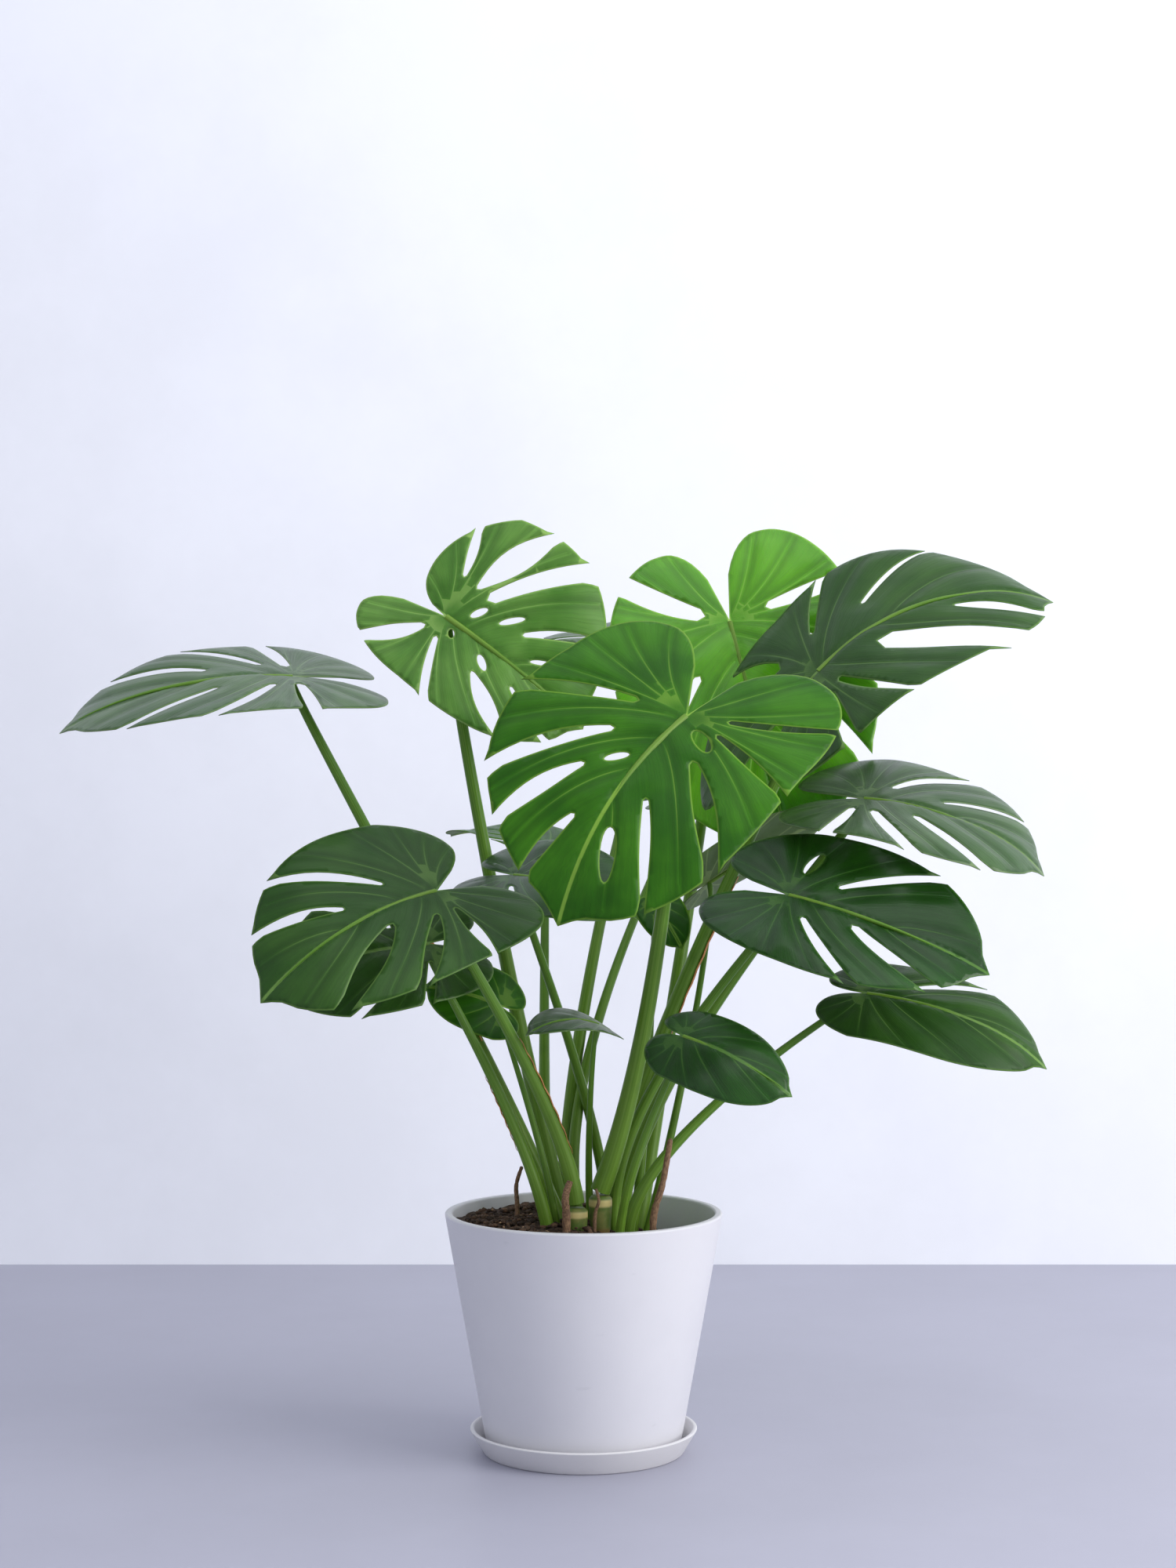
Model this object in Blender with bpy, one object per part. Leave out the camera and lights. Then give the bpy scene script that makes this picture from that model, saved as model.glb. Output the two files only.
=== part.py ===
"""A potted monstera: a tapered pot on its saucer, soil, two short stems and nineteen leaves.

Every leaf is two pieces: a blade, which is a split and holed heart-shaped sheet, and the
stalk that carries it down to a stem. Metres, +Z up. The origin is the middle of the
saucer's underside, and the plant's front is towards -Y.
"""

import math
from types import SimpleNamespace

import bmesh
import bpy
import numpy as np
from mathutils import Vector
from mathutils.bvhtree import BVHTree
from mathutils.geometry import delaunay_2d_cdt

# Pot and saucer
RIM_RADIUS = 0.150
RIM_HEIGHT = 0.258
POT_FOOT_RADIUS = 0.105
POT_WALL = 0.0085
POT_FLOOR = 0.010
DRAIN_RADIUS = 0.009
SAUCER_RIM_RADIUS = 0.1228
SAUCER_FOOT_RADIUS = 0.108
SAUCER_HEIGHT = 0.026
SAUCER_WALL = 0.005
SAUCER_FLOOR = 0.006
ROUND_SIDES = 48

# Soil
SOIL_TOP = 0.248
SOIL_DIP = 0.030
SOIL_DIP_START = -0.010
SOIL_DIP_WIDTH = 0.100
SOIL_LUMPS = 0.0025
SOIL_RINGS = 6

# Plant
BLADE_THICKNESS = 0.0012
CORNER = 1.5
STALK_SIDES = 8
STALK_PLACES = (0.0, 0.08, 0.18, 0.30, 0.44, 0.58, 0.72, 0.84, 0.93, 1.0)
JOINT_REACH = 0.035
FOOT_HEIGHT = 0.200
STEM_RADIUS = 0.0125
SHEATH_WIDTH = 0.0032
SHEATH_THICKNESS = 0.0007
GAP = 0.0003
STALK_CLEARANCE = 0.0022

# Distance from the leaf's base to its margin, as a share of the leaf's length, at angles from
# the midrib: the point of the leaf is at 0 degrees and the notch over the stalk at 180.
HEART = (
    (0, 1.0), (5, 0.945), (12, 0.92), (25, 0.85), (38, 0.77), (55, 0.66), (75, 0.565),
    (95, 0.52), (115, 0.49), (135, 0.46), (150, 0.42), (162, 0.36), (171, 0.25), (177, 0.12),
    (180, 0.0),
)


def leaf(name, base, tip, facing, root, via, **shape):
    """One leaf: its base, its tip, the way its upper face looks, and its stalk's route.

    root      where the stalk stands: its place in the soil, or the top of its stem
    via       the point that the stalk passes half-way
    wide      half-widths of the left and right halves, as shares of the heart's own
    lobes     size of the left and right lobe behind the base, as shares of the heart's own
    notch     the angle at which the left and right half come back to the base
    cuts      for the left and right halves: (angle of the mouth, inner end, mouth width, and
              how much wider the cut is half-way)
    holes     for the left and right halves: (angle, inner end, outer end, width)
    arch      rise of the midrib between base and tip, as a share of the length
    bow       sideways curve of the midrib, towards the left half
    fold      rise of each half away from the midrib: above 0 is a trough, below 0 a roof
    curl      how far the margin hangs below the flat of the leaf
    twist     degrees that the tip end is turned about the midrib
    stalk     radii of the stalk at the foot and under the blade
    approach  how the stalk meets the blade: 0 is square to it, 1 is along it
    """
    on_stem = len(root) == 3
    if not on_stem:
        root = (*root, FOOT_HEIGHT)
    made = dict(
        name=name, base=Vector(base), tip=Vector(tip), facing=Vector(facing), root=Vector(root),
        via=Vector(via), wide=(1.0, 1.0), lobes=(1.0, 1.0), notch=(172, 172),
        cuts=((), ()), holes=((), ()), arch=0.06,
        bow=0.0, fold=0.08, curl=0.10, twist=0.0, stalk=(0.0075, 0.0040), approach=0.2,
        on_stem=on_stem,
    )
    made.update(shape)
    made = SimpleNamespace(**made)
    along = made.tip - made.base
    made.length = along.length
    made.m = along.normalized()
    made.n = (made.facing - made.facing.dot(made.m) * made.m).normalized()
    made.s = made.m.cross(made.n)
    return made


LEAVES = (
    leaf("front", (0.105, -0.200, 0.790), (-0.025, -0.270, 0.580), (0, -1, 0.33),
         root=(0.018, -0.032, 0.285), via=(0.081, -0.100, 0.573), stalk=(0.0110, 0.0050),
         wide=(1.02, 0.98), lobes=(1.35, 1.25), notch=(148, 184), bow=0.07, arch=0.05, fold=0.10,
         curl=0.12,
         cuts=(((66, 0.34, 0.045, 0.020), (38, 0.36, 0.045, 0.030), (25, 0.47, 0.035, 0.040),
                (12, 0.50, 0.030, 0.020)),
               ((119, 0.33, 0.020, 0.015), (77, 0.30, 0.020, 0.020), (42, 0.35, 0.045, 0.045),
                (21, 0.38, 0.012, 0.025))),
         holes=(((24, 0.14, 0.32, 0.030),), ((54, 0.14, 0.34, 0.050), (10, 0.34, 0.78, 0.060)))),
    leaf("top_left", (-0.150, 0.000, 0.902), (0.000, 0.020, 0.780), (-0.25, -0.80, 0.50),
         root=(-0.010, 0.034), via=(-0.088, 0.034, 0.543), stalk=(0.0100, 0.0052),
         wide=(0.86, 1.35), lobes=(1.25, 0.45), notch=(172, 178), arch=0.06, fold=0.12, curl=0.10,
         cuts=(((128, 0.33, 0.060, 0.045), (72, 0.30, 0.045, 0.010),
                (34, 0.48, 0.045, 0.070), (17, 0.50, 0.030, 0.015)),
               ((112, 0.48, 0.035, 0.025), (69, 0.33, 0.050, 0.110), (47, 0.34, 0.110, 0.010),
                (22, 0.40, 0.040, 0.020))),
         holes=(((46, 0.10, 0.20, 0.035), (26, 0.22, 0.40, 0.045)),
                ((40, 0.12, 0.26, 0.040), (29, 0.26, 0.46, 0.035), (12, 0.30, 0.55, 0.025)))),
    leaf("left_front", (-0.149, -0.170, 0.612), (-0.319, -0.250, 0.503), (-0.15, -0.80, 0.60),
         root=(-0.008, -0.052, 0.275), via=(-0.078, -0.100, 0.462), stalk=(0.0090, 0.0042),
         wide=(0.97, 0.95), lobes=(0.88, 1.05), notch=(146, 178), bow=0.035, arch=0.07, fold=0.08,
         curl=0.10,
         cuts=(((37, 0.30, 0.030, 0.030), (19, 0.36, 0.030, 0.030)),
               ((87, 0.32, 0.015, 0.040), (53, 0.33, 0.040, 0.045), (27, 0.34, 0.060, 0.070)))),
    leaf("far_left", (-0.313, 0.000, 0.837), (-0.560, -0.040, 0.777), (-0.20, -0.35, 1.0),
         root=(-0.008, -0.008), via=(-0.127, -0.004, 0.465), stalk=(0.0100, 0.0045),
         wide=(0.95, 0.95), arch=0.06, fold=0.02, curl=0.10,
         cuts=(((80, 0.30, 0.070, 0.015), (50, 0.34, 0.050, 0.015), (26, 0.40, 0.050, 0.015)),
               ((92, 0.34, 0.070, 0.015), (55, 0.34, 0.050, 0.015), (28, 0.40, 0.040, 0.015)))),
    leaf("top_right", (0.252, 0.000, 0.841), (0.515, 0.040, 0.918), (-0.25, -0.55, 0.80),
         root=(0.020, 0.032), via=(0.129, 0.022, 0.549), stalk=(0.0105, 0.0052),
         wide=(0.92, 0.90), lobes=(0.85, 1.70), notch=(172, 180), bow=-0.08, arch=0.10, fold=0.03,
         curl=0.12,
         cuts=(((95, 0.40, 0.060, 0.0), (66, 0.30, 0.015, 0.015), (31, 0.36, 0.170, 0.010),
                (11, 0.44, 0.030, 0.040)),
               ((120, 0.50, 0.090, 0.020), (68, 0.44, 0.035, 0.010), (34, 0.45, 0.010, 0.010)))),
    leaf("top_back", (0.167, 0.180, 0.909), (0.235, 0.130, 0.640), (-0.10, -0.95, 0.20),
         root=(0.056, 0.078), via=(0.116, 0.150, 0.562), stalk=(0.0095, 0.0050),
         wide=(0.95, 0.95), arch=0.03, fold=0.14, curl=0.10,
         cuts=(((125, 0.30, 0.090, 0.015), (75, 0.40, 0.050, 0.015), (40, 0.40, 0.050, 0.015)),
               ((95, 0.35, 0.060, 0.015), (55, 0.36, 0.060, 0.015), (30, 0.40, 0.050, 0.015)))),
    leaf("back", (0.099, 0.330, 0.890), (-0.040, 0.440, 0.900), (-0.20, -0.10, 1.0),
         root=(-0.020, 0.074), via=(0.020, 0.165, 0.568), stalk=(0.0085, 0.0045), arch=0.05,
         cuts=(((75, 0.34, 0.050, 0.015), (40, 0.36, 0.050, 0.015)),
               ((75, 0.34, 0.050, 0.015), (40, 0.36, 0.050, 0.015)))),
    leaf("right", (0.302, 0.000, 0.705), (0.492, -0.030, 0.619), (0.15, -0.38, 0.85),
         root=(0.040, 0.010), via=(0.152, 0.012, 0.494), stalk=(0.0100, 0.0045),
         arch=0.08, fold=0.06, curl=0.14,
         cuts=(((100, 0.34, 0.060, 0.015), (58, 0.34, 0.070, 0.015), (30, 0.36, 0.070, 0.015)),
               ((48, 0.30, 0.060, 0.015), (22, 0.36, 0.030, 0.015)))),
    leaf("right_dark", (0.213, -0.100, 0.605), (0.415, -0.160, 0.524), (0.10, -0.70, 0.72),
         root=(0.046, -0.014), via=(0.122, -0.045, 0.472), stalk=(0.0080, 0.0038),
         wide=(0.85, 0.80), arch=0.04, fold=0.08, curl=0.08,
         cuts=(((48, 0.32, 0.045, 0.015), (22, 0.30, 0.070, 0.015)), ((38, 0.34, 0.040, 0.015),)),
         holes=((), ((80, 0.35, 0.70, 0.060),))),
    leaf("right_low", (0.303, -0.020, 0.496), (0.493, -0.050, 0.418), (0.20, -0.60, 0.75),
         root=(0.062, -0.034), via=(0.156, -0.030, 0.390), stalk=(0.0080, 0.0032), approach=0.5,
         wide=(0.62, 0.58), lobes=(0.35, 0.35), arch=0.08, fold=-0.10, curl=0.10,
         cuts=((), ((40, 0.40, 0.040, 0.015),))),
    leaf("small_front", (0.101, -0.170, 0.464), (0.209, -0.220, 0.409), (0.05, -0.80, 0.60),
         root=(0.040, -0.060), via=(0.070, -0.110, 0.370), stalk=(0.0055, 0.0028),
         wide=(0.72, 0.60), lobes=(0.5, 0.5), arch=0.06, fold=-0.18, curl=0.10),
    leaf("small_mid", (0.016, -0.080, 0.468), (-0.060, -0.120, 0.460), (0.0, -0.30, 0.95),
         root=(0.012, -0.006), via=(0.008, -0.045, 0.400), stalk=(0.0048, 0.0024),
         wide=(0.75, 0.75), lobes=(0.6, 0.6), arch=0.12, fold=0.02, curl=0.05),
    leaf("small_left", (-0.088, -0.020, 0.481), (-0.172, -0.018, 0.503), (-0.10, -0.85, 0.50),
         root=(-0.026, -0.024), via=(-0.062, -0.028, 0.384), stalk=(0.0048, 0.0024),
         wide=(0.85, 0.85), lobes=(0.7, 0.7), arch=0.10, fold=-0.05, curl=0.12),
    leaf("low_left", (-0.164, -0.070, 0.552), (-0.322, -0.100, 0.502), (-0.10, -0.80, 0.60),
         root=(-0.034, -0.038), via=(-0.086, -0.055, 0.384), stalk=(0.0080, 0.0035),
         wide=(0.9, 0.9), arch=0.08,
         cuts=(((75, 0.34, 0.050, 0.015), (40, 0.36, 0.050, 0.015)),
               ((75, 0.34, 0.050, 0.015), (40, 0.36, 0.050, 0.015)))),
    leaf("mid_left", (-0.075, -0.050, 0.624), (0.055, -0.100, 0.579), (0.0, -0.45, 0.90),
         root=(0.030, 0.056), via=(-0.014, 0.050, 0.429), stalk=(0.0070, 0.0036), arch=0.06,
         cuts=(((60, 0.40, 0.050, 0.015),), ((60, 0.40, 0.050, 0.015),))),
    leaf("back_left", (-0.041, 0.220, 0.647), (-0.159, 0.300, 0.659), (-0.20, 0.10, 1.0),
         root=(-0.040, 0.090), via=(-0.045, 0.150, 0.450), stalk=(0.0080, 0.0040), arch=0.06,
         cuts=(((70, 0.36, 0.050, 0.015), (35, 0.36, 0.050, 0.015)),
               ((70, 0.36, 0.050, 0.015), (35, 0.36, 0.050, 0.015)))),
    leaf("mid_back", (0.122, 0.300, 0.711), (0.273, 0.320, 0.703), (0.10, -0.15, 1.0),
         root=(0.008, 0.078), via=(0.038, 0.158, 0.515), stalk=(0.0075, 0.0038), arch=0.05,
         cuts=(((65, 0.40, 0.050, 0.015),), ((65, 0.40, 0.050, 0.015),))),
    leaf("pale", (0.135, 0.060, 0.610), (0.275, 0.100, 0.684), (-0.30, 0.55, 0.75),
         root=(0.062, 0.040), via=(0.118, 0.055, 0.440), stalk=(0.0055, 0.0026),
         wide=(0.6, 0.6), lobes=(0.4, 0.4), arch=0.02, fold=0.15, curl=0.02),
    leaf("small_oval", (0.078, 0.060, 0.590), (0.108, 0.030, 0.540), (0.10, -0.90, 0.30),
         root=(0.050, 0.054), via=(0.073, 0.058, 0.440), stalk=(0.0060, 0.0026),
         wide=(0.75, 0.75), lobes=(0.3, 0.3), arch=0.04, fold=0.05),
)

# Dry sheaths: the leaf whose stalk each runs along, where it starts and ends along that stalk,
# and the side of the stalk it lies on, in degrees round it.
SHEATHS = (
    ("far_left", 0.32, 0.56, 40), ("left_front", 0.14, 0.44, 0), ("top_right", 0.32, 0.54, 20),
    ("low_left", 0.32, 0.50, 180),
)

# Aerial roots: the points each one runs through, and its radius at the start and the end.
AERIAL_ROOTS = (
    (((0.074, -0.066, 0.262), (0.084, -0.068, 0.300), (0.092, -0.064, 0.345)), 0.0045, 0.0030),
    (((-0.018, -0.074, 0.262), (-0.019, -0.078, 0.285), (-0.014, -0.076, 0.302)), 0.0050, 0.0035),
    (((0.012, -0.070, 0.262), (0.016, -0.072, 0.280), (0.013, -0.066, 0.292)), 0.0022, 0.0016),
    (((-0.072, 0.004, 0.262), (-0.073, 0.008, 0.285), (-0.067, 0.010, 0.305)), 0.0030, 0.0020),
)


# ---------------------------------------------------------------- the blade's flat shape


def smooth_table(rows, at):
    """Reads a value from a short table of (place, value) with a smooth curve through its rows."""
    places = [row[0] for row in rows]
    values = [row[1] for row in rows]
    slopes = np.gradient(values, places)
    i = min(max(np.searchsorted(places, at) - 1, 0), len(rows) - 2)
    step = places[i + 1] - places[i]
    t = min(max((at - places[i]) / step, 0.0), 1.0)
    return (
        (2 * t**3 - 3 * t**2 + 1) * values[i]
        + (t**3 - 2 * t**2 + t) * step * slopes[i]
        + (3 * t**2 - 2 * t**3) * values[i + 1]
        + (t**3 - t**2) * step * slopes[i + 1]
    )


def margin(shape, side, angle):
    """The point of the blade's margin at an angle from the midrib. side is 1 left, -1 right."""
    half = 0 if side > 0 else 1
    behind = max(0.0, angle - 90) / 90
    radius = smooth_table(HEART, angle) * shape.length * (1 - (1 - shape.lobes[half]) * behind)
    wide = shape.wide[half]
    turn = math.radians(min(angle, 90) + (shape.notch[half] - 90) * behind)
    return np.array((side * wide * radius * math.sin(turn), radius * math.cos(turn)))


def vein_start(shape, angle):
    """How far along the midrib the vein that ends at this angle leaves it."""
    return 0.75 * shape.length * max(0.0, 1 - angle / 90) ** 3.8


def vein_point(shape, side, angle, share):
    """A point on the side vein that ends on the margin at this angle, share of the way out."""
    start = np.array((0.0, vein_start(shape, angle)))
    end = margin(shape, side, angle)
    bend = np.array((0.5 * end[0], start[1] + 0.25 * (end[1] - start[1])))
    return (1 - share) ** 2 * start + 2 * share * (1 - share) * bend + share**2 * end


def across_vein(shape, side, angle, share):
    """Unit direction square to that vein, towards the tip end of the leaf."""
    step = vein_point(shape, side, angle, share + 0.01) - vein_point(shape, side, angle, share - 0.01)
    step /= np.linalg.norm(step)
    return np.array((-step[1], step[0])) * side


def cut_edges(shape, side, cut, steps):
    """The two edges of a cut from the margin: the notch-side edge inwards, the tip-side one out."""
    angle, inner, mouth, belly = cut
    mouth *= shape.length
    end_radius = max(0.30 * mouth, 0.010 * shape.length)
    inward, outward = [], []
    for k in range(steps + 1):
        share = 1 - (1 - inner) * k / steps
        way = max(0.0, (share - inner) / (1 - inner))
        half = end_radius + (0.5 * mouth - end_radius) * way
        half += 0.5 * belly * shape.length * math.sin(math.pi * way)
        centre = vein_point(shape, side, angle, share)
        offset = across_vein(shape, side, angle, share) * half
        inward.append(centre - offset)
        outward.append(centre + offset)
    tip = vein_point(shape, side, angle, inner)
    back = tip - vein_point(shape, side, angle, inner + 0.02)
    back *= end_radius / np.linalg.norm(back)
    return inward, tip + back, outward[::-1]


def half_margin(shape, side, spacing, steps):
    """One half of the outline, from the notch over the stalk to the leaf's point."""
    cuts = sorted(shape.cuts[0] if side > 0 else shape.cuts[1], reverse=True)
    points, angle = [], 174.0
    for cut in cuts:
        half_mouth = math.degrees(0.5 * cut[2] / (smooth_table(HEART, cut[0])))
        stop = cut[0] + half_mouth
        count = max(1, round((angle - stop) / spacing))
        points += [margin(shape, side, angle + (stop - angle) * k / count) for k in range(count)]
        inward, end, outward = cut_edges(shape, side, cut, steps)
        corner = margin(shape, side, cut[0] - half_mouth - CORNER)
        points += inward + [end] + outward[:-1]
        points.append(0.5 * outward[-1] * 0.35 + 0.5 * outward[-2] * 0.65 + 0.5 * corner)
        angle = cut[0] - half_mouth - CORNER
    count = max(2, round(angle / spacing))
    points += [margin(shape, side, angle * (1 - k / count)) for k in range(count)]
    return points


def outline(shape, spacing, steps):
    """The blade's whole outline, anticlockwise from the notch as the upper face is seen."""
    notch = np.array((0.0, 0.0))
    left = half_margin(shape, 1, spacing, steps)
    right = half_margin(shape, -1, spacing, steps)
    return [notch] + left + [margin(shape, 1, 0.0)] + right[::-1]


def hole_outlines(shape, count):
    """The closed outlines of the holes near the midrib, each a long lens along a side vein."""
    found = []
    for side, holes in ((1, shape.holes[0]), (-1, shape.holes[1])):
        for angle, first, last, width in holes:
            ring = []
            for k in range(count):
                turn = 2 * math.pi * k / count
                share = 0.5 * (first + last) - 0.5 * (last - first) * math.cos(turn)
                offset = 0.5 * width * shape.length * math.sin(turn)
                ring.append(
                    vein_point(shape, side, angle, share)
                    + across_vein(shape, side, angle, share) * offset
                )
            found.append(ring)
    return found


def inside(points, ring):
    """For each point, whether it lies inside the closed ring."""
    found = np.zeros(len(points), bool)
    for (ax, ay), (bx, by) in zip(ring, ring[1:] + ring[:1]):
        if ay == by:
            continue
        crosses = (ay > points[:, 1]) != (by > points[:, 1])
        reach = ax + (points[:, 1] - ay) * (bx - ax) / (by - ay)
        found ^= crosses & (points[:, 0] < reach)
    return found


def distance_to(points, ring):
    """Each point's distance to the closed ring."""
    nearest = np.full(len(points), np.inf)
    for a, b in zip(ring, ring[1:] + ring[:1]):
        edge = b - a
        share = np.clip((points - a) @ edge / max(edge @ edge, 1e-12), 0, 1)
        nearest = np.minimum(nearest, np.linalg.norm(points - a - share[:, None] * edge, axis=1))
    return nearest


def flat_blade(shape, spacing, steps, grid):
    """The blade as flat triangles: an array of points and a list of faces."""
    rings = [outline(shape, spacing, steps)] + hole_outlines(shape, 2 * steps + 2)
    low, high = np.min(rings[0], axis=0), np.max(rings[0], axis=0)
    rows = []
    for j in range(int((high[1] - low[1]) / (0.866 * grid)) + 1):
        for i in range(int((high[0] - low[0]) / grid) + 1):
            rows.append((low[0] + (i + 0.5 * (j % 2)) * grid, low[1] + j * 0.866 * grid))
    filler = np.array(rows)
    keep = inside(filler, rings[0])
    for ring in rings:
        keep &= distance_to(filler, ring) > 0.45 * grid
    for ring in rings[1:]:
        keep &= ~inside(filler, ring)
    points = [tuple(p) for ring in rings for p in ring] + [tuple(p) for p in filler[keep]]
    edges, start = [], 0
    for ring in rings:
        edges += [(start + k, start + (k + 1) % len(ring)) for k in range(len(ring))]
        start += len(ring)
    found = delaunay_2d_cdt([Vector(p) for p in points], edges, [], 0, 1e-6)
    flat = np.array([tuple(p) for p in found[0]])
    faces = np.array([tuple(f) for f in found[2]])
    middles = flat[faces].mean(axis=1)
    shown = inside(middles, rings[0])
    for ring in rings[1:]:
        shown &= ~inside(middles, ring)
    return flat, faces[shown]


# ---------------------------------------------------------------- the blade in space


def shape_in_space(shape, flat):
    """Bends flat blade points into the leaf's real shape and hangs them at its place."""
    x = flat[:, 0] / shape.length
    y = flat[:, 1] / shape.length
    ridge = np.sqrt(x**2 + 0.02**2) - 0.02
    reach = np.hypot(x, y - 0.25)
    height = 4 * shape.arch * y * (1 - y) + shape.fold * ridge - shape.curl * reach**3
    height += shape.curl * 0.25**3 * (1 - y) + shape.curl * 0.75**3 * y
    sideways = x + 4 * shape.bow * y * (1 - y)
    turn = math.radians(shape.twist) * (y - 0.2)
    across = sideways * np.cos(turn) - height * np.sin(turn)
    raised = sideways * np.sin(turn) + height * np.cos(turn)
    scale = shape.length
    return (
        np.array(shape.base)
        + scale * np.outer(across, shape.s)
        + scale * np.outer(y, shape.m)
        + scale * np.outer(raised, shape.n)
    )


def underside_at_base(shape):
    """A point of the blade just past the notch, and the upward normal of the blade there."""
    near, step = 0.02 * shape.length, 0.01 * shape.length
    flat = np.array(((0, near), (0, near + step), (step, near), (-step, near)))
    at, ahead, left, right = shape_in_space(shape, flat)
    normal = Vector(np.cross(ahead - at, left - right)).normalized()
    if normal.dot(shape.n) < 0:
        normal.negate()
    return Vector(at), normal


# ---------------------------------------------------------------- solids


def new_object(name, mesh, material):
    """Links a mesh into the scene as a named object with its material."""
    made = bpy.data.objects.new(name, mesh)
    mesh.materials.append(material)
    bpy.context.scene.collection.objects.link(made)
    return made


def finish(material_name, colour, roughness):
    """A plain material in the piece's own colour."""
    material = bpy.data.materials.new(material_name)
    material.use_nodes = True
    shader = material.node_tree.nodes["Principled BSDF"]
    shader.inputs["Base Color"].default_value = (*colour, 1)
    shader.inputs["Roughness"].default_value = roughness
    shader.inputs["Metallic"].default_value = 0.0
    return material


def lathe(name, profile, sides, material):
    """A solid turned about Z from a closed outline of (radius, height) points."""
    shape = bmesh.new()
    ring = [shape.verts.new((r, 0, z)) for r, z in profile]
    on_axis = profile[0][0] == 0 and profile[-1][0] == 0
    edges = [shape.edges.new(pair) for pair in zip(ring, ring[1:])]
    if not on_axis:
        edges.append(shape.edges.new((ring[-1], ring[0])))
    bmesh.ops.spin(
        shape, geom=ring + edges, cent=(0, 0, 0), axis=(0, 0, 1),
        angle=2 * math.pi, steps=sides, use_merge=True, use_normal_flip=False,
    )
    bmesh.ops.remove_doubles(shape, verts=shape.verts, dist=1e-5)
    bmesh.ops.recalc_face_normals(shape, faces=shape.faces)
    mesh = bpy.data.meshes.new(name)
    shape.to_mesh(mesh)
    shape.free()
    mesh.shade_smooth()
    mesh.set_sharp_from_angle(angle=math.radians(35))
    return new_object(name, mesh, material)


def tube_mesh(name, path, radii, sides, flat=1.0, turn=0.0):
    """A closed rod along a path, with a radius at each of its points.

    flat is its second radius as a share of the first, and turn is where the first one points.
    """
    shape = bmesh.new()
    rings = []
    side_way = Vector((math.cos(turn), math.sin(turn), 0))
    for k, (point, radius) in enumerate(zip(path, radii)):
        ahead = (path[min(k + 1, len(path) - 1)] - path[max(k - 1, 0)]).normalized()
        side_way = (side_way - side_way.dot(ahead) * ahead).normalized()
        other_way = ahead.cross(side_way)
        rings.append([
            shape.verts.new(
                point
                + side_way * radius * math.cos(2 * math.pi * j / sides)
                + other_way * radius * flat * math.sin(2 * math.pi * j / sides)
            )
            for j in range(sides)
        ])
    for lower, upper in zip(rings, rings[1:]):
        for j in range(sides):
            shape.faces.new((lower[j], lower[(j + 1) % sides], upper[(j + 1) % sides], upper[j]))
    shape.faces.new(rings[0][::-1])
    shape.faces.new(rings[-1])
    bmesh.ops.recalc_face_normals(shape, faces=shape.faces)
    mesh = bpy.data.meshes.new(name)
    shape.to_mesh(mesh)
    shape.free()
    mesh.shade_smooth()
    mesh.set_sharp_from_angle(angle=math.radians(50))
    return mesh


def blade(shape, material):
    """The leaf's blade: its bent sheet, given an even thickness. Returns the sheet to fit to."""
    flat, faces = flat_blade(shape, spacing=17, steps=2, grid=0.16 * shape.length)
    points = [tuple(p) for p in shape_in_space(shape, flat)]
    faces = [tuple(int(i) for i in face) for face in faces]
    mesh = bpy.data.meshes.new("blade_" + shape.name)
    mesh.from_pydata(points, [], faces)
    mesh.shade_smooth()
    made = new_object("blade_" + shape.name, mesh, material)
    thick = made.modifiers.new("thickness", "SOLIDIFY")
    thick.thickness = BLADE_THICKNESS
    thick.offset = 0.0
    return BVHTree.FromPolygons(points, faces)


def curve_point(a, b, c, d, t):
    """A point on the cubic curve from a to d."""
    return (1 - t) ** 3 * a + 3 * t * (1 - t) ** 2 * b + 3 * t**2 * (1 - t) * c + t**3 * d


def stalk_curve(shape, sheet, clearance):
    """The four points of the stalk's curve: from its foot, by its via point, to under the blade."""
    at, normal = underside_at_base(shape)
    way = (normal * (1 - shape.approach) + shape.m * shape.approach).normalized()
    radius = shape.stalk[1]
    across = way.orthogonal().normalized()
    other = way.cross(across)
    start = at - way * 0.03
    reach = 0.03
    for k in range(STALK_SIDES):
        turn = 2 * math.pi * k / STALK_SIDES
        for share in (0.5, 1.1):
            offset = share * radius * (across * math.cos(turn) + other * math.sin(turn))
            hit = sheet.ray_cast(start + offset, way, 0.05)
            if hit[0] is not None:
                reach = min(reach, hit[3])
    end = start + way * (reach - 0.5 * BLADE_THICKNESS / max(0.3, way.dot(normal)) - clearance)
    knee = end - way * JOINT_REACH * (0.4 + 0.6 * shape.length / 0.25)
    low, high = 0.0, 1.0
    third = shape.root.z + (end.z - shape.root.z) / 3
    for _ in range(30):
        t = 0.5 * (low + high)
        if curve_point(shape.root.z, third, knee.z, end.z, t) < shape.via.z:
            low = t
        else:
            high = t
    nothing = Vector((0, 0, 0))
    rest = curve_point(shape.root, nothing, knee, end, t)
    bend = (shape.via - rest) / (3 * t * (1 - t) ** 2)
    return shape.root, bend, knee, end


def stalk_radii(shape, places=STALK_PLACES):
    """The stalk's radius at places along its path: a thick foot that thins out to the top."""
    foot, top = shape.stalk
    return [top + (foot - top) * (1 - place) ** 1.4 for place in places]


def stalk(shape, sheet, material):
    """The leaf's stalk. Returns its path."""
    curve = stalk_curve(shape, sheet, STALK_CLEARANCE)
    path = [curve_point(*curve, place) for place in STALK_PLACES]
    mesh = tube_mesh("stalk_" + shape.name, path, stalk_radii(shape), STALK_SIDES)
    new_object("stalk_" + shape.name, mesh, material)
    return path


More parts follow.
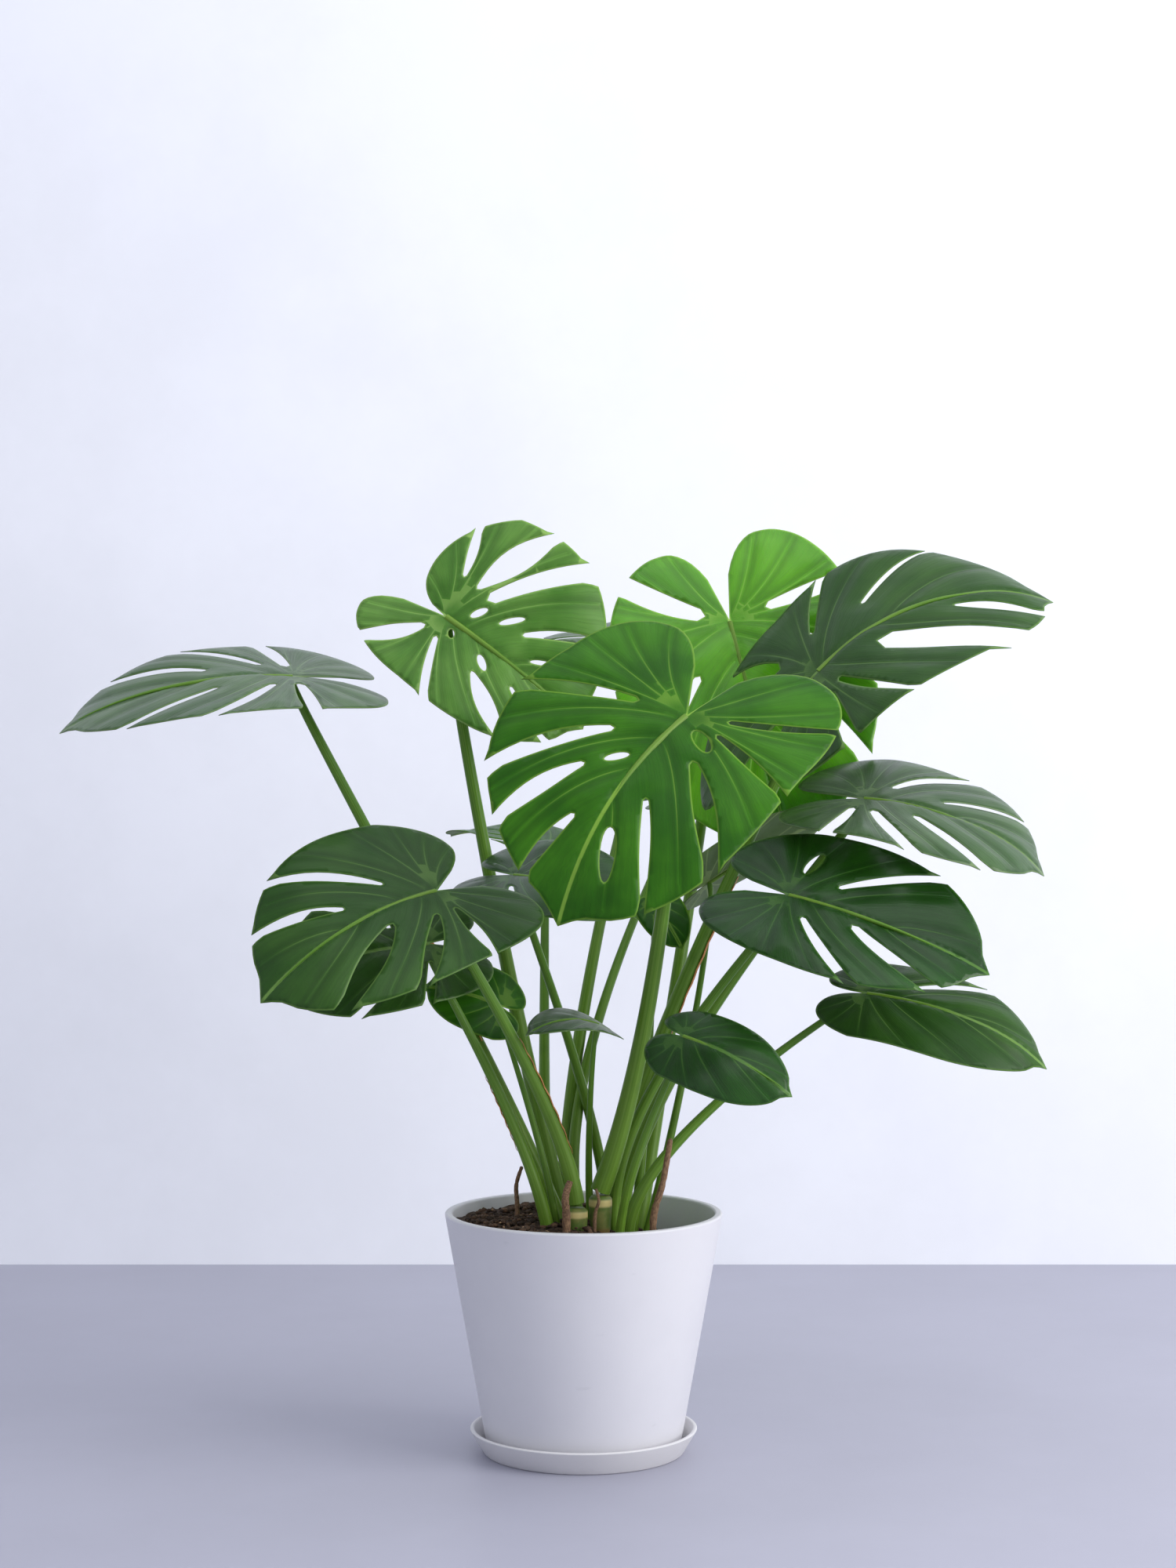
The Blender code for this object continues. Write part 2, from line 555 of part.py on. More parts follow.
def cutter(name, path, radii, group):
    """A hidden rod, a gap thicker and deeper than the piece whose place it clears in the soil."""
    deeper = path[0] - (path[1] - path[0]).normalized() * 2 * GAP
    wider = [radius + GAP for radius in radii]
    mesh = tube_mesh("cut_" + name, [deeper] + path, [wider[0]] + wider, STALK_SIDES)
    made = bpy.data.objects.new("cut_" + name, mesh)
    made.hide_render = True
    made.display_type = "WIRE"
    group.objects.link(made)


def sheath(name, path, radii, first, last, degrees, material):
    """A dry strip that lies along a stalk, tapered to both ends."""
    turn = math.radians(degrees)
    count = 7
    line, widths = [], []
    for k in range(count):
        place = (first + (last - first) * k / (count - 1)) * (len(path) - 1)
        i = min(int(place), len(path) - 2)
        share = place - i
        middle = path[i].lerp(path[i + 1], share)
        ahead = (path[i + 1] - path[i]).normalized()
        side_way = Vector((math.cos(turn), -math.sin(turn), 0))
        side_way = (side_way - side_way.dot(ahead) * ahead).normalized()
        radius = radii[i] + (radii[i + 1] - radii[i]) * share
        line.append(middle + side_way * (radius + SHEATH_THICKNESS + 3 * GAP))
        widths.append(SHEATH_WIDTH * (0.25 + 0.75 * math.sin(math.pi * (0.15 + 0.7 * k / (count - 1)))))
    flat = SHEATH_THICKNESS / SHEATH_WIDTH
    mesh = tube_mesh("sheath_" + name, line, widths, 6, flat, turn=-turn + math.pi / 2)
    new_object("sheath_" + name, mesh, material)


def pot_profile():
    """The pot's section, as (radius, height) points, with its drain hole in the middle."""
    low = SAUCER_FLOOR + GAP
    soft = 0.0015
    inner_foot = inner_radius(low + POT_FLOOR)
    return [
        (DRAIN_RADIUS, low), (POT_FOOT_RADIUS - soft, low), (POT_FOOT_RADIUS, low + soft),
        (RIM_RADIUS, RIM_HEIGHT - soft), (RIM_RADIUS - soft, RIM_HEIGHT),
        (RIM_RADIUS - POT_WALL + soft, RIM_HEIGHT), (RIM_RADIUS - POT_WALL, RIM_HEIGHT - soft),
        (inner_foot, low + POT_FLOOR), (DRAIN_RADIUS, low + POT_FLOOR),
    ]


def saucer_profile():
    """The saucer's section, as (radius, height) points."""
    soft = 0.0012
    lean = (SAUCER_RIM_RADIUS - SAUCER_FOOT_RADIUS) / SAUCER_HEIGHT
    inner_foot = SAUCER_FOOT_RADIUS + lean * SAUCER_FLOOR - SAUCER_WALL
    return [
        (0, 0), (SAUCER_FOOT_RADIUS, 0), (SAUCER_RIM_RADIUS, SAUCER_HEIGHT - soft),
        (SAUCER_RIM_RADIUS - soft, SAUCER_HEIGHT),
        (SAUCER_RIM_RADIUS - SAUCER_WALL + soft, SAUCER_HEIGHT),
        (SAUCER_RIM_RADIUS - SAUCER_WALL, SAUCER_HEIGHT - soft),
        (inner_foot, SAUCER_FLOOR), (0, SAUCER_FLOOR),
    ]


def inner_radius(height):
    """The pot's inside radius at a height."""
    lean = (RIM_RADIUS - POT_FOOT_RADIUS) / (RIM_HEIGHT - SAUCER_FLOOR)
    return POT_FOOT_RADIUS + lean * (height - SAUCER_FLOOR) - POT_WALL


def soil_height(x, y):
    """The soil's surface: level on the left, sinking to the right, with low lumps."""
    sink = min(max((x - SOIL_DIP_START) / SOIL_DIP_WIDTH, 0.0), 1.0)
    sink = sink * sink * (3 - 2 * sink)
    lumps = math.sin(95 * x + 1) * math.cos(80 * y) + 0.6 * math.sin(170 * y + 60 * x)
    return SOIL_TOP - SOIL_DIP * sink + SOIL_LUMPS * lumps


def soil(cutters, material):
    """The soil: it fills the pot up to its uneven surface, with a hole for every stalk and stem."""
    low = SAUCER_FLOOR + POT_FLOOR + 2 * GAP
    shape = bmesh.new()
    centre = shape.verts.new((0, 0, soil_height(0, 0)))
    rings = []
    for k in range(1, SOIL_RINGS + 1):
        ring = []
        for j in range(ROUND_SIDES):
            turn = 2 * math.pi * j / ROUND_SIDES
            share = k / SOIL_RINGS
            top = soil_height(0.13 * share * math.cos(turn), 0.13 * share * math.sin(turn))
            radius = share * (inner_radius(top) - 2 * GAP)
            ring.append(shape.verts.new((radius * math.cos(turn), radius * math.sin(turn), top)))
        rings.append(ring)
    bottom = []
    for j in range(ROUND_SIDES):
        turn = 2 * math.pi * j / ROUND_SIDES
        radius = inner_radius(low) - 2 * GAP
        bottom.append(shape.verts.new((radius * math.cos(turn), radius * math.sin(turn), low)))
    for j in range(ROUND_SIDES):
        after = (j + 1) % ROUND_SIDES
        shape.faces.new((centre, rings[0][j], rings[0][after]))
        for inner, outer in zip(rings, rings[1:] + [bottom]):
            shape.faces.new((inner[j], outer[j], outer[after], inner[after]))
    shape.faces.new(bottom[::-1])
    bmesh.ops.recalc_face_normals(shape, faces=shape.faces)
    mesh = bpy.data.meshes.new("soil")
    shape.to_mesh(mesh)
    shape.free()
    made = new_object("soil", mesh, material)
    holes = made.modifiers.new("stalk holes", "BOOLEAN")
    holes.operation = "DIFFERENCE"
    holes.operand_type = "COLLECTION"
    holes.collection = cutters
    holes.solver = "EXACT"


def stem(shape, material, cutters):
    """A short thick stem from the soil up to the foot of the stalk that stands on it."""
    x, y, top = shape.root
    top -= stem_clearance(shape)
    path = [Vector((x, y, z)) for z in (FOOT_HEIGHT, 0.5 * (FOOT_HEIGHT + top), top - 0.002, top)]
    radii = [STEM_RADIUS, STEM_RADIUS, STEM_RADIUS, STEM_RADIUS - 0.002]
    mesh = tube_mesh("stem_" + shape.name, path, radii, 12)
    new_object("stem_" + shape.name, mesh, material)
    cutter("stem_" + shape.name, path[:2] + [path[3] + Vector((0, 0, 0.02))],
           [STEM_RADIUS * 1.05] * 3, cutters)


def stem_clearance(shape):
    """How far below a tilted foot's middle the stem has to end."""
    rise = (shape.via - shape.root).normalized()
    return shape.stalk[0] * math.sqrt(1 - rise.z**2) + 0.0015


def aerial_root(number, points, first, last, material, cutters):
    """A root that leaves the soil and stands in the air."""
    a, b, c = (Vector(p) for p in points)
    foot = Vector((a.x, a.y, FOOT_HEIGHT + 0.015))
    line = [foot, a, a.lerp(b, 0.5), b, b.lerp(c, 0.5), c]
    radii = [first + (last - first) * k / (len(line) - 1) for k in range(len(line))]
    name = f"aerial_root_{number}"
    new_object(name, tube_mesh(name, line, radii, 8), material)
    cutter(name, line, radii, cutters)


def main():
    for old in list(bpy.data.objects):
        bpy.data.objects.remove(old)
    leaf_green = finish("leaf", (0.05, 0.19, 0.03), 0.4)
    stalk_green = finish("stalk", (0.16, 0.34, 0.06), 0.45)
    stem_green = finish("stem", (0.20, 0.30, 0.08), 0.55)
    dry_brown = finish("dry sheath", (0.36, 0.18, 0.07), 0.8)
    root_brown = finish("aerial root", (0.25, 0.13, 0.06), 0.8)
    cutters = bpy.data.collections.new("cutters")
    bpy.context.scene.collection.children.link(cutters)

    pot_white = finish("pot", (0.80, 0.80, 0.83), 0.45)
    saucer_white = finish("saucer", (0.82, 0.80, 0.80), 0.45)
    soil_brown = finish("soil", (0.10, 0.055, 0.035), 0.95)
    lathe("saucer", saucer_profile(), ROUND_SIDES, saucer_white)
    lathe("pot", pot_profile(), ROUND_SIDES, pot_white)

    sheath_rows = {row[0]: row[1:] for row in SHEATHS}
    for shape in LEAVES:
        sheet = blade(shape, leaf_green)
        path = stalk(shape, sheet, stalk_green)
        if shape.on_stem:
            stem(shape, stem_green, cutters)
        else:
            cutter(shape.name, path, stalk_radii(shape), cutters)
        if shape.name in sheath_rows:
            sheath(shape.name, path, stalk_radii(shape), *sheath_rows[shape.name], dry_brown)
    for k, row in enumerate(AERIAL_ROOTS):
        aerial_root(k + 1, *row, root_brown, cutters)
    soil(cutters, soil_brown)


main()
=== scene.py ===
"""The looks of the potted monstera: fine leaves, stalks, pot, saucer, soil and roots.

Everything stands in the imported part's own frame: metres, +Z up, the origin under the saucer
and the plant's front towards -Y.
"""

import math
import random
from types import SimpleNamespace

import bmesh
import bpy
import numpy as np
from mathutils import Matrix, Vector, noise
from mathutils.bvhtree import BVHTree
from mathutils.geometry import delaunay_2d_cdt
from mathutils.kdtree import KDTree

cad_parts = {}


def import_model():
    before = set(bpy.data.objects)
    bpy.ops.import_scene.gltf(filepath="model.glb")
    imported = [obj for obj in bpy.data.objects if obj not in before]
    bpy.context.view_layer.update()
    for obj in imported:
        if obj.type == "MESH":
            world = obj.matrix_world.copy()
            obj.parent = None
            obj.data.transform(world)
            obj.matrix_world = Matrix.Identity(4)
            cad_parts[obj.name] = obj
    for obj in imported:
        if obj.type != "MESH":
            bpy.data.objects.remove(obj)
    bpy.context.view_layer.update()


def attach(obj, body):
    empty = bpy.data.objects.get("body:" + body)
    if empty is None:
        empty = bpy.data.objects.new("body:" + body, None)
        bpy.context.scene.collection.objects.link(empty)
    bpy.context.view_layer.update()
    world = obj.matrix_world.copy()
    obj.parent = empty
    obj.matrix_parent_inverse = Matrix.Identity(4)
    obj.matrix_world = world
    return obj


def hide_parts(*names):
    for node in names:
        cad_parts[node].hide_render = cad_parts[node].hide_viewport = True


# Pot and saucer
RIM_RADIUS = 0.150
RIM_HEIGHT = 0.258
POT_FOOT_RADIUS = 0.105
POT_WALL = 0.0085
POT_FLOOR = 0.010
DRAIN_RADIUS = 0.009
SAUCER_RIM_RADIUS = 0.1228
SAUCER_FOOT_RADIUS = 0.108
SAUCER_HEIGHT = 0.026
SAUCER_WALL = 0.005
SAUCER_FLOOR = 0.006
ROUND_SIDES = 48

# Soil
SOIL_TOP = 0.248
SOIL_DIP = 0.030
SOIL_DIP_START = -0.010
SOIL_DIP_WIDTH = 0.100
SOIL_LUMPS = 0.0025
SOIL_RINGS = 6

# Plant
BLADE_THICKNESS = 0.0012
CORNER = 1.5
STALK_SIDES = 8
STALK_PLACES = (0.0, 0.08, 0.18, 0.30, 0.44, 0.58, 0.72, 0.84, 0.93, 1.0)
JOINT_REACH = 0.035
FOOT_HEIGHT = 0.200
STEM_RADIUS = 0.0125
SHEATH_WIDTH = 0.0032
SHEATH_THICKNESS = 0.0007
GAP = 0.0003
STALK_CLEARANCE = 0.0022

# Distance from the leaf's base to its margin, as a share of the leaf's length, at angles from
# the midrib: the point of the leaf is at 0 degrees and the notch over the stalk at 180.
HEART = (
    (0, 1.0), (5, 0.945), (12, 0.92), (25, 0.85), (38, 0.77), (55, 0.66), (75, 0.565),
    (95, 0.52), (115, 0.49), (135, 0.46), (150, 0.42), (162, 0.36), (171, 0.25), (177, 0.12),
    (180, 0.0),
)

# Fine surface
BLADE_MESH = 0.0055
FINE_THICKNESS = 0.0008
PUFF = 0.0022
GROOVE = 0.0010
WAVE = 0.006
VEIN_SPREAD = 24
STALK_STEPS = 48
CRUMBS = 2600

# Camera and room
CAMERA_LENS = 61.7
CAMERA_PLACE = (0.0047, -2.907, 0.72)
FLOOR_CORNERS = ((-6, -6, 0), (6, -6, 0), (6, 1.12, 0), (-6, 1.12, 0))
WALL_CORNERS = ((-6, 1.12, 0), (6, 1.12, 0), (6, 1.12, 6), (-6, 1.12, 6))
FLOOR_COLOUR = (0.42, 0.42, 0.50)
WALL_COLOUR = (0.92, 0.93, 0.98)

# A leaf's looks: deep and fresh green, vein colour, roughness, wax and light let through
LEAF_LOOKS = {
    "green": ((0.018, 0.098, 0.003), (0.042, 0.170, 0.006), (0.21, 0.38, 0.05), 0.38, 0.04, 0.10),
    "fresh": ((0.060, 0.180, 0.020), (0.130, 0.290, 0.050), (0.30, 0.48, 0.12), 0.38, 0.06, 0.12),
    "deep": ((0.018, 0.068, 0.007), (0.034, 0.100, 0.012), (0.15, 0.28, 0.06), 0.38, 0.08, 0.05),
    "dark": ((0.008, 0.045, 0.003), (0.016, 0.078, 0.006), (0.08, 0.19, 0.030), 0.30, 0.14, 0.05),
    "young": ((0.075, 0.270, 0.008), (0.140, 0.420, 0.018), (0.36, 0.58, 0.10), 0.28, 0.16, 0.25),
    # This row's greens are greyed to paint in the grey sheen that the bright room reflects off these leaves at
    # grazing angles; its higher wax coat is real gloss on top of that painted sheen.
    "silver": ((0.035, 0.095, 0.020), (0.065, 0.140, 0.036), (0.17, 0.27, 0.09), 0.38, 0.20, 0.08),
}
UNDERSIDES = {
    "green": ((0.090, 0.190, 0.030), (0.24, 0.38, 0.08)),
    "fresh": ((0.120, 0.240, 0.040), (0.28, 0.42, 0.10)),
    "deep": ((0.070, 0.160, 0.035), (0.20, 0.33, 0.08)),
    "dark": ((0.060, 0.140, 0.030), (0.17, 0.29, 0.07)),
    "young": ((0.180, 0.400, 0.030), (0.36, 0.58, 0.10)),
    # The underside of the leaves whose upper face carries the painted grey sheen, greyed to match them.
    "silver": ((0.120, 0.200, 0.065), (0.26, 0.37, 0.13)),
}


def leaf(name, base, tip, facing, root, via, **shape):
    """One leaf: its base, its tip, the way its upper face looks, and its stalk's route.

    root      where the stalk stands: its place in the soil, or the top of its stem
    via       the point that the stalk passes half-way
    wide      half-widths of the left and right halves, as shares of the heart's own
    lobes     size of the left and right lobe behind the base, as shares of the heart's own
    notch     the angle at which the left and right half come back to the base
    cuts      for the left and right halves: (angle of the mouth, inner end, mouth width, and
              how much wider the cut is half-way)
    holes     for the left and right halves: (angle, inner end, outer end, width)
    arch      rise of the midrib between base and tip, as a share of the length
    bow       sideways curve of the midrib, towards the left half
    fold      rise of each half away from the midrib: above 0 is a trough, below 0 a roof
    curl      how far the margin hangs below the flat of the leaf
    twist     degrees that the tip end is turned about the midrib
    stalk     radii of the stalk at the foot and under the blade
    approach  how the stalk meets the blade: 0 is square to it, 1 is along it
    """
    on_stem = len(root) == 3
    if not on_stem:
        root = (*root, FOOT_HEIGHT)
    made = dict(
        name=name, base=Vector(base), tip=Vector(tip), facing=Vector(facing), root=Vector(root),
        via=Vector(via), wide=(1.0, 1.0), lobes=(1.0, 1.0), notch=(172, 172),
        cuts=((), ()), holes=((), ()), arch=0.06,
        bow=0.0, fold=0.08, curl=0.10, twist=0.0, stalk=(0.0075, 0.0040), approach=0.2,
        on_stem=on_stem, look="green",
    )
    made.update(shape)
    made = SimpleNamespace(**made)
    along = made.tip - made.base
    made.length = along.length
    made.m = along.normalized()
    made.n = (made.facing - made.facing.dot(made.m) * made.m).normalized()
    made.s = made.m.cross(made.n)
    return made


LEAVES = (
    leaf("front", (0.105, -0.200, 0.790), (-0.025, -0.270, 0.580), (0, -1, 0.33),
         root=(0.018, -0.032, 0.285), via=(0.081, -0.100, 0.573), stalk=(0.0110, 0.0050),
         wide=(1.02, 0.98), lobes=(1.35, 1.25), notch=(148, 184), bow=0.07, arch=0.05, fold=0.10,
         curl=0.12,
         cuts=(((66, 0.34, 0.045, 0.020), (38, 0.36, 0.045, 0.030), (25, 0.47, 0.035, 0.040),
                (12, 0.50, 0.030, 0.020)),
               ((119, 0.33, 0.020, 0.015), (77, 0.30, 0.020, 0.020), (42, 0.35, 0.045, 0.045),
                (21, 0.38, 0.012, 0.025))),
         holes=(((24, 0.14, 0.32, 0.030),), ((54, 0.14, 0.34, 0.050), (10, 0.34, 0.78, 0.060)))),
    leaf("top_left", (-0.150, 0.000, 0.902), (0.000, 0.020, 0.780), (-0.25, -0.80, 0.50),
         root=(-0.010, 0.034), look="fresh", via=(-0.088, 0.034, 0.543), stalk=(0.0100, 0.0052),
         wide=(0.86, 1.35), lobes=(1.25, 0.45), notch=(172, 178), arch=0.06, fold=0.12, curl=0.10,
         cuts=(((128, 0.33, 0.060, 0.045), (72, 0.30, 0.045, 0.010),
                (34, 0.48, 0.045, 0.070), (17, 0.50, 0.030, 0.015)),
               ((112, 0.48, 0.035, 0.025), (69, 0.33, 0.050, 0.110), (47, 0.34, 0.110, 0.010),
                (22, 0.40, 0.040, 0.020))),
         holes=(((46, 0.10, 0.20, 0.035), (26, 0.22, 0.40, 0.045)),
                ((40, 0.12, 0.26, 0.040), (29, 0.26, 0.46, 0.035), (12, 0.30, 0.55, 0.025)))),
    leaf("left_front", (-0.149, -0.170, 0.612), (-0.319, -0.250, 0.503), (-0.15, -0.80, 0.60),
         root=(-0.008, -0.052, 0.275), look="deep", via=(-0.078, -0.100, 0.462), stalk=(0.0090, 0.0042),
         wide=(0.97, 0.95), lobes=(0.88, 1.05), notch=(146, 178), bow=0.035, arch=0.07, fold=0.08,
         curl=0.10,
         cuts=(((37, 0.30, 0.030, 0.030), (19, 0.36, 0.030, 0.030)),
               ((87, 0.32, 0.015, 0.040), (53, 0.33, 0.040, 0.045), (27, 0.34, 0.060, 0.070)))),
    leaf("far_left", (-0.313, 0.000, 0.837), (-0.560, -0.040, 0.777), (-0.20, -0.35, 1.0),
         root=(-0.008, -0.008), look="silver", via=(-0.127, -0.004, 0.465), stalk=(0.0100, 0.0045),
         wide=(0.95, 0.95), arch=0.06, fold=0.02, curl=0.10,
         cuts=(((80, 0.30, 0.070, 0.015), (50, 0.34, 0.050, 0.015), (26, 0.40, 0.050, 0.015)),
               ((92, 0.34, 0.070, 0.015), (55, 0.34, 0.050, 0.015), (28, 0.40, 0.040, 0.015)))),
    leaf("top_right", (0.252, 0.000, 0.841), (0.515, 0.040, 0.918), (-0.25, -0.55, 0.80),
         root=(0.020, 0.032), look="deep", via=(0.129, 0.022, 0.549), stalk=(0.0105, 0.0052),
         wide=(0.92, 0.90), lobes=(0.85, 1.70), notch=(172, 180), bow=-0.08, arch=0.10, fold=0.03,
         curl=0.12,
         cuts=(((95, 0.40, 0.060, 0.0), (66, 0.30, 0.015, 0.015), (31, 0.36, 0.170, 0.010),
                (11, 0.44, 0.030, 0.040)),
               ((120, 0.50, 0.090, 0.020), (68, 0.44, 0.035, 0.010), (34, 0.45, 0.010, 0.010)))),
    leaf("top_back", (0.167, 0.180, 0.909), (0.235, 0.130, 0.640), (-0.10, -0.95, 0.20),
         root=(0.056, 0.078), look="young", via=(0.116, 0.150, 0.562), stalk=(0.0095, 0.0050),
         wide=(0.95, 0.95), arch=0.03, fold=0.14, curl=0.10,
         cuts=(((125, 0.30, 0.090, 0.015), (75, 0.40, 0.050, 0.015), (40, 0.40, 0.050, 0.015)),
               ((95, 0.35, 0.060, 0.015), (55, 0.36, 0.060, 0.015), (30, 0.40, 0.050, 0.015)))),
    leaf("back", (0.099, 0.330, 0.890), (-0.040, 0.440, 0.900), (-0.20, -0.10, 1.0),
         root=(-0.020, 0.074), look="silver", via=(0.020, 0.165, 0.568), stalk=(0.0085, 0.0045), arch=0.05,
         cuts=(((75, 0.34, 0.050, 0.015), (40, 0.36, 0.050, 0.015)),
               ((75, 0.34, 0.050, 0.015), (40, 0.36, 0.050, 0.015)))),
    leaf("right", (0.302, 0.000, 0.705), (0.492, -0.030, 0.619), (0.15, -0.38, 0.85),
         root=(0.040, 0.010), look="silver", via=(0.152, 0.012, 0.494), stalk=(0.0100, 0.0045),
         arch=0.08, fold=0.06, curl=0.14,
         cuts=(((100, 0.34, 0.060, 0.015), (58, 0.34, 0.070, 0.015), (30, 0.36, 0.070, 0.015)),
               ((48, 0.30, 0.060, 0.015), (22, 0.36, 0.030, 0.015)))),
    leaf("right_dark", (0.213, -0.100, 0.605), (0.415, -0.160, 0.524), (0.10, -0.70, 0.72),
         root=(0.046, -0.014), look="dark", via=(0.122, -0.045, 0.472), stalk=(0.0080, 0.0038),
         wide=(0.85, 0.80), arch=0.04, fold=0.08, curl=0.08,
         cuts=(((48, 0.32, 0.045, 0.015), (22, 0.30, 0.070, 0.015)), ((38, 0.34, 0.040, 0.015),)),
         holes=((), ((80, 0.35, 0.70, 0.060),))),
    leaf("right_low", (0.303, -0.020, 0.496), (0.493, -0.050, 0.418), (0.20, -0.60, 0.75),
         root=(0.062, -0.034), look="deep", via=(0.156, -0.030, 0.390), stalk=(0.0080, 0.0032), approach=0.5,
         wide=(0.62, 0.58), lobes=(0.35, 0.35), arch=0.08, fold=-0.10, curl=0.10,
         cuts=((), ((40, 0.40, 0.040, 0.015),))),
    leaf("small_front", (0.101, -0.170, 0.464), (0.209, -0.220, 0.409), (0.05, -0.80, 0.60),
         root=(0.040, -0.060), look="dark", via=(0.070, -0.110, 0.370), stalk=(0.0055, 0.0028),
         wide=(0.72, 0.60), lobes=(0.5, 0.5), arch=0.06, fold=-0.18, curl=0.10),
    leaf("small_mid", (0.016, -0.080, 0.468), (-0.060, -0.120, 0.460), (0.0, -0.30, 0.95),
         root=(0.012, -0.006), look="silver", via=(0.008, -0.045, 0.400), stalk=(0.0048, 0.0024),
         wide=(0.75, 0.75), lobes=(0.6, 0.6), arch=0.12, fold=0.02, curl=0.05),
    leaf("small_left", (-0.088, -0.020, 0.481), (-0.172, -0.018, 0.503), (-0.10, -0.85, 0.50),
         root=(-0.026, -0.024), via=(-0.062, -0.028, 0.384), stalk=(0.0048, 0.0024),
         wide=(0.85, 0.85), lobes=(0.7, 0.7), arch=0.10, fold=-0.05, curl=0.12),
    leaf("low_left", (-0.164, -0.070, 0.552), (-0.322, -0.100, 0.502), (-0.10, -0.80, 0.60),
         root=(-0.034, -0.038), look="deep", via=(-0.086, -0.055, 0.384), stalk=(0.0080, 0.0035),
         wide=(0.9, 0.9), arch=0.08,
         cuts=(((75, 0.34, 0.050, 0.015), (40, 0.36, 0.050, 0.015)),
               ((75, 0.34, 0.050, 0.015), (40, 0.36, 0.050, 0.015)))),
    leaf("mid_left", (-0.075, -0.050, 0.624), (0.055, -0.100, 0.579), (0.0, -0.45, 0.90),
         root=(0.030, 0.056), look="dark", via=(-0.014, 0.050, 0.429), stalk=(0.0070, 0.0036), arch=0.06,
         cuts=(((60, 0.40, 0.050, 0.015),), ((60, 0.40, 0.050, 0.015),))),
    leaf("back_left", (-0.041, 0.220, 0.647), (-0.159, 0.300, 0.659), (-0.20, 0.10, 1.0),
         root=(-0.040, 0.090), via=(-0.045, 0.150, 0.450), stalk=(0.0080, 0.0040), arch=0.06,
         cuts=(((70, 0.36, 0.050, 0.015), (35, 0.36, 0.050, 0.015)),
               ((70, 0.36, 0.050, 0.015), (35, 0.36, 0.050, 0.015)))),
    leaf("mid_back", (0.122, 0.300, 0.711), (0.273, 0.320, 0.703), (0.10, -0.15, 1.0),
         root=(0.008, 0.078), look="silver", via=(0.038, 0.158, 0.515), stalk=(0.0075, 0.0038), arch=0.05,
         cuts=(((65, 0.40, 0.050, 0.015),), ((65, 0.40, 0.050, 0.015),))),
    leaf("pale", (0.135, 0.060, 0.610), (0.275, 0.100, 0.684), (-0.30, 0.55, 0.75),
         root=(0.062, 0.040), look="silver", via=(0.118, 0.055, 0.440), stalk=(0.0055, 0.0026),
         wide=(0.6, 0.6), lobes=(0.4, 0.4), arch=0.02, fold=0.15, curl=0.02),
    leaf("small_oval", (0.078, 0.060, 0.590), (0.108, 0.030, 0.540), (0.10, -0.90, 0.30),
         root=(0.050, 0.054), via=(0.073, 0.058, 0.440), stalk=(0.0060, 0.0026),
         wide=(0.75, 0.75), lobes=(0.3, 0.3), arch=0.04, fold=0.05),
)

# Dry sheaths: the leaf whose stalk each runs along, where it starts and ends along that stalk,
# and the side of the stalk it lies on, in degrees round it.
SHEATHS = (
    ("far_left", 0.32, 0.56, 40), ("left_front", 0.14, 0.44, 0), ("top_right", 0.32, 0.54, 20),
    ("low_left", 0.32, 0.50, 180),
)

# Aerial roots: the points each one runs through, and its radius at the start and the end.
AERIAL_ROOTS = (
    (((0.074, -0.066, 0.262), (0.084, -0.068, 0.300), (0.092, -0.064, 0.345)), 0.0045, 0.0030),
    (((-0.018, -0.074, 0.262), (-0.019, -0.078, 0.285), (-0.014, -0.076, 0.302)), 0.0050, 0.0035),
    (((0.012, -0.070, 0.262), (0.016, -0.072, 0.280), (0.013, -0.066, 0.292)), 0.0022, 0.0016),
    (((-0.072, 0.004, 0.262), (-0.073, 0.008, 0.285), (-0.067, 0.010, 0.305)), 0.0030, 0.0020),
)


# ---------------------------------------------------------------- the blade's flat shape


def smooth_table(rows, at):
    """Reads a value from a short table of (place, value) with a smooth curve through its rows."""
    places = [row[0] for row in rows]
    values = [row[1] for row in rows]
    slopes = np.gradient(values, places)
    i = min(max(np.searchsorted(places, at) - 1, 0), len(rows) - 2)
    step = places[i + 1] - places[i]
    t = min(max((at - places[i]) / step, 0.0), 1.0)
    return (
        (2 * t**3 - 3 * t**2 + 1) * values[i]
        + (t**3 - 2 * t**2 + t) * step * slopes[i]
        + (3 * t**2 - 2 * t**3) * values[i + 1]
        + (t**3 - t**2) * step * slopes[i + 1]
    )


def margin(shape, side, angle):
    """The point of the blade's margin at an angle from the midrib. side is 1 left, -1 right."""
    half = 0 if side > 0 else 1
    behind = max(0.0, angle - 90) / 90
    radius = smooth_table(HEART, angle) * shape.length * (1 - (1 - shape.lobes[half]) * behind)
    wide = shape.wide[half]
    turn = math.radians(min(angle, 90) + (shape.notch[half] - 90) * behind)
    return np.array((side * wide * radius * math.sin(turn), radius * math.cos(turn)))


def vein_start(shape, angle):
    """How far along the midrib the vein that ends at this angle leaves it."""
    return 0.75 * shape.length * max(0.0, 1 - angle / 90) ** 3.8


def vein_point(shape, side, angle, share):
    """A point on the side vein that ends on the margin at this angle, share of the way out."""
    start = np.array((0.0, vein_start(shape, angle)))
    end = margin(shape, side, angle)
    bend = np.array((0.5 * end[0], start[1] + 0.25 * (end[1] - start[1])))
    return (1 - share) ** 2 * start + 2 * share * (1 - share) * bend + share**2 * end


def across_vein(shape, side, angle, share):
    """Unit direction square to that vein, towards the tip end of the leaf."""
    step = vein_point(shape, side, angle, share + 0.01) - vein_point(shape, side, angle, share - 0.01)
    step /= np.linalg.norm(step)
    return np.array((-step[1], step[0])) * side


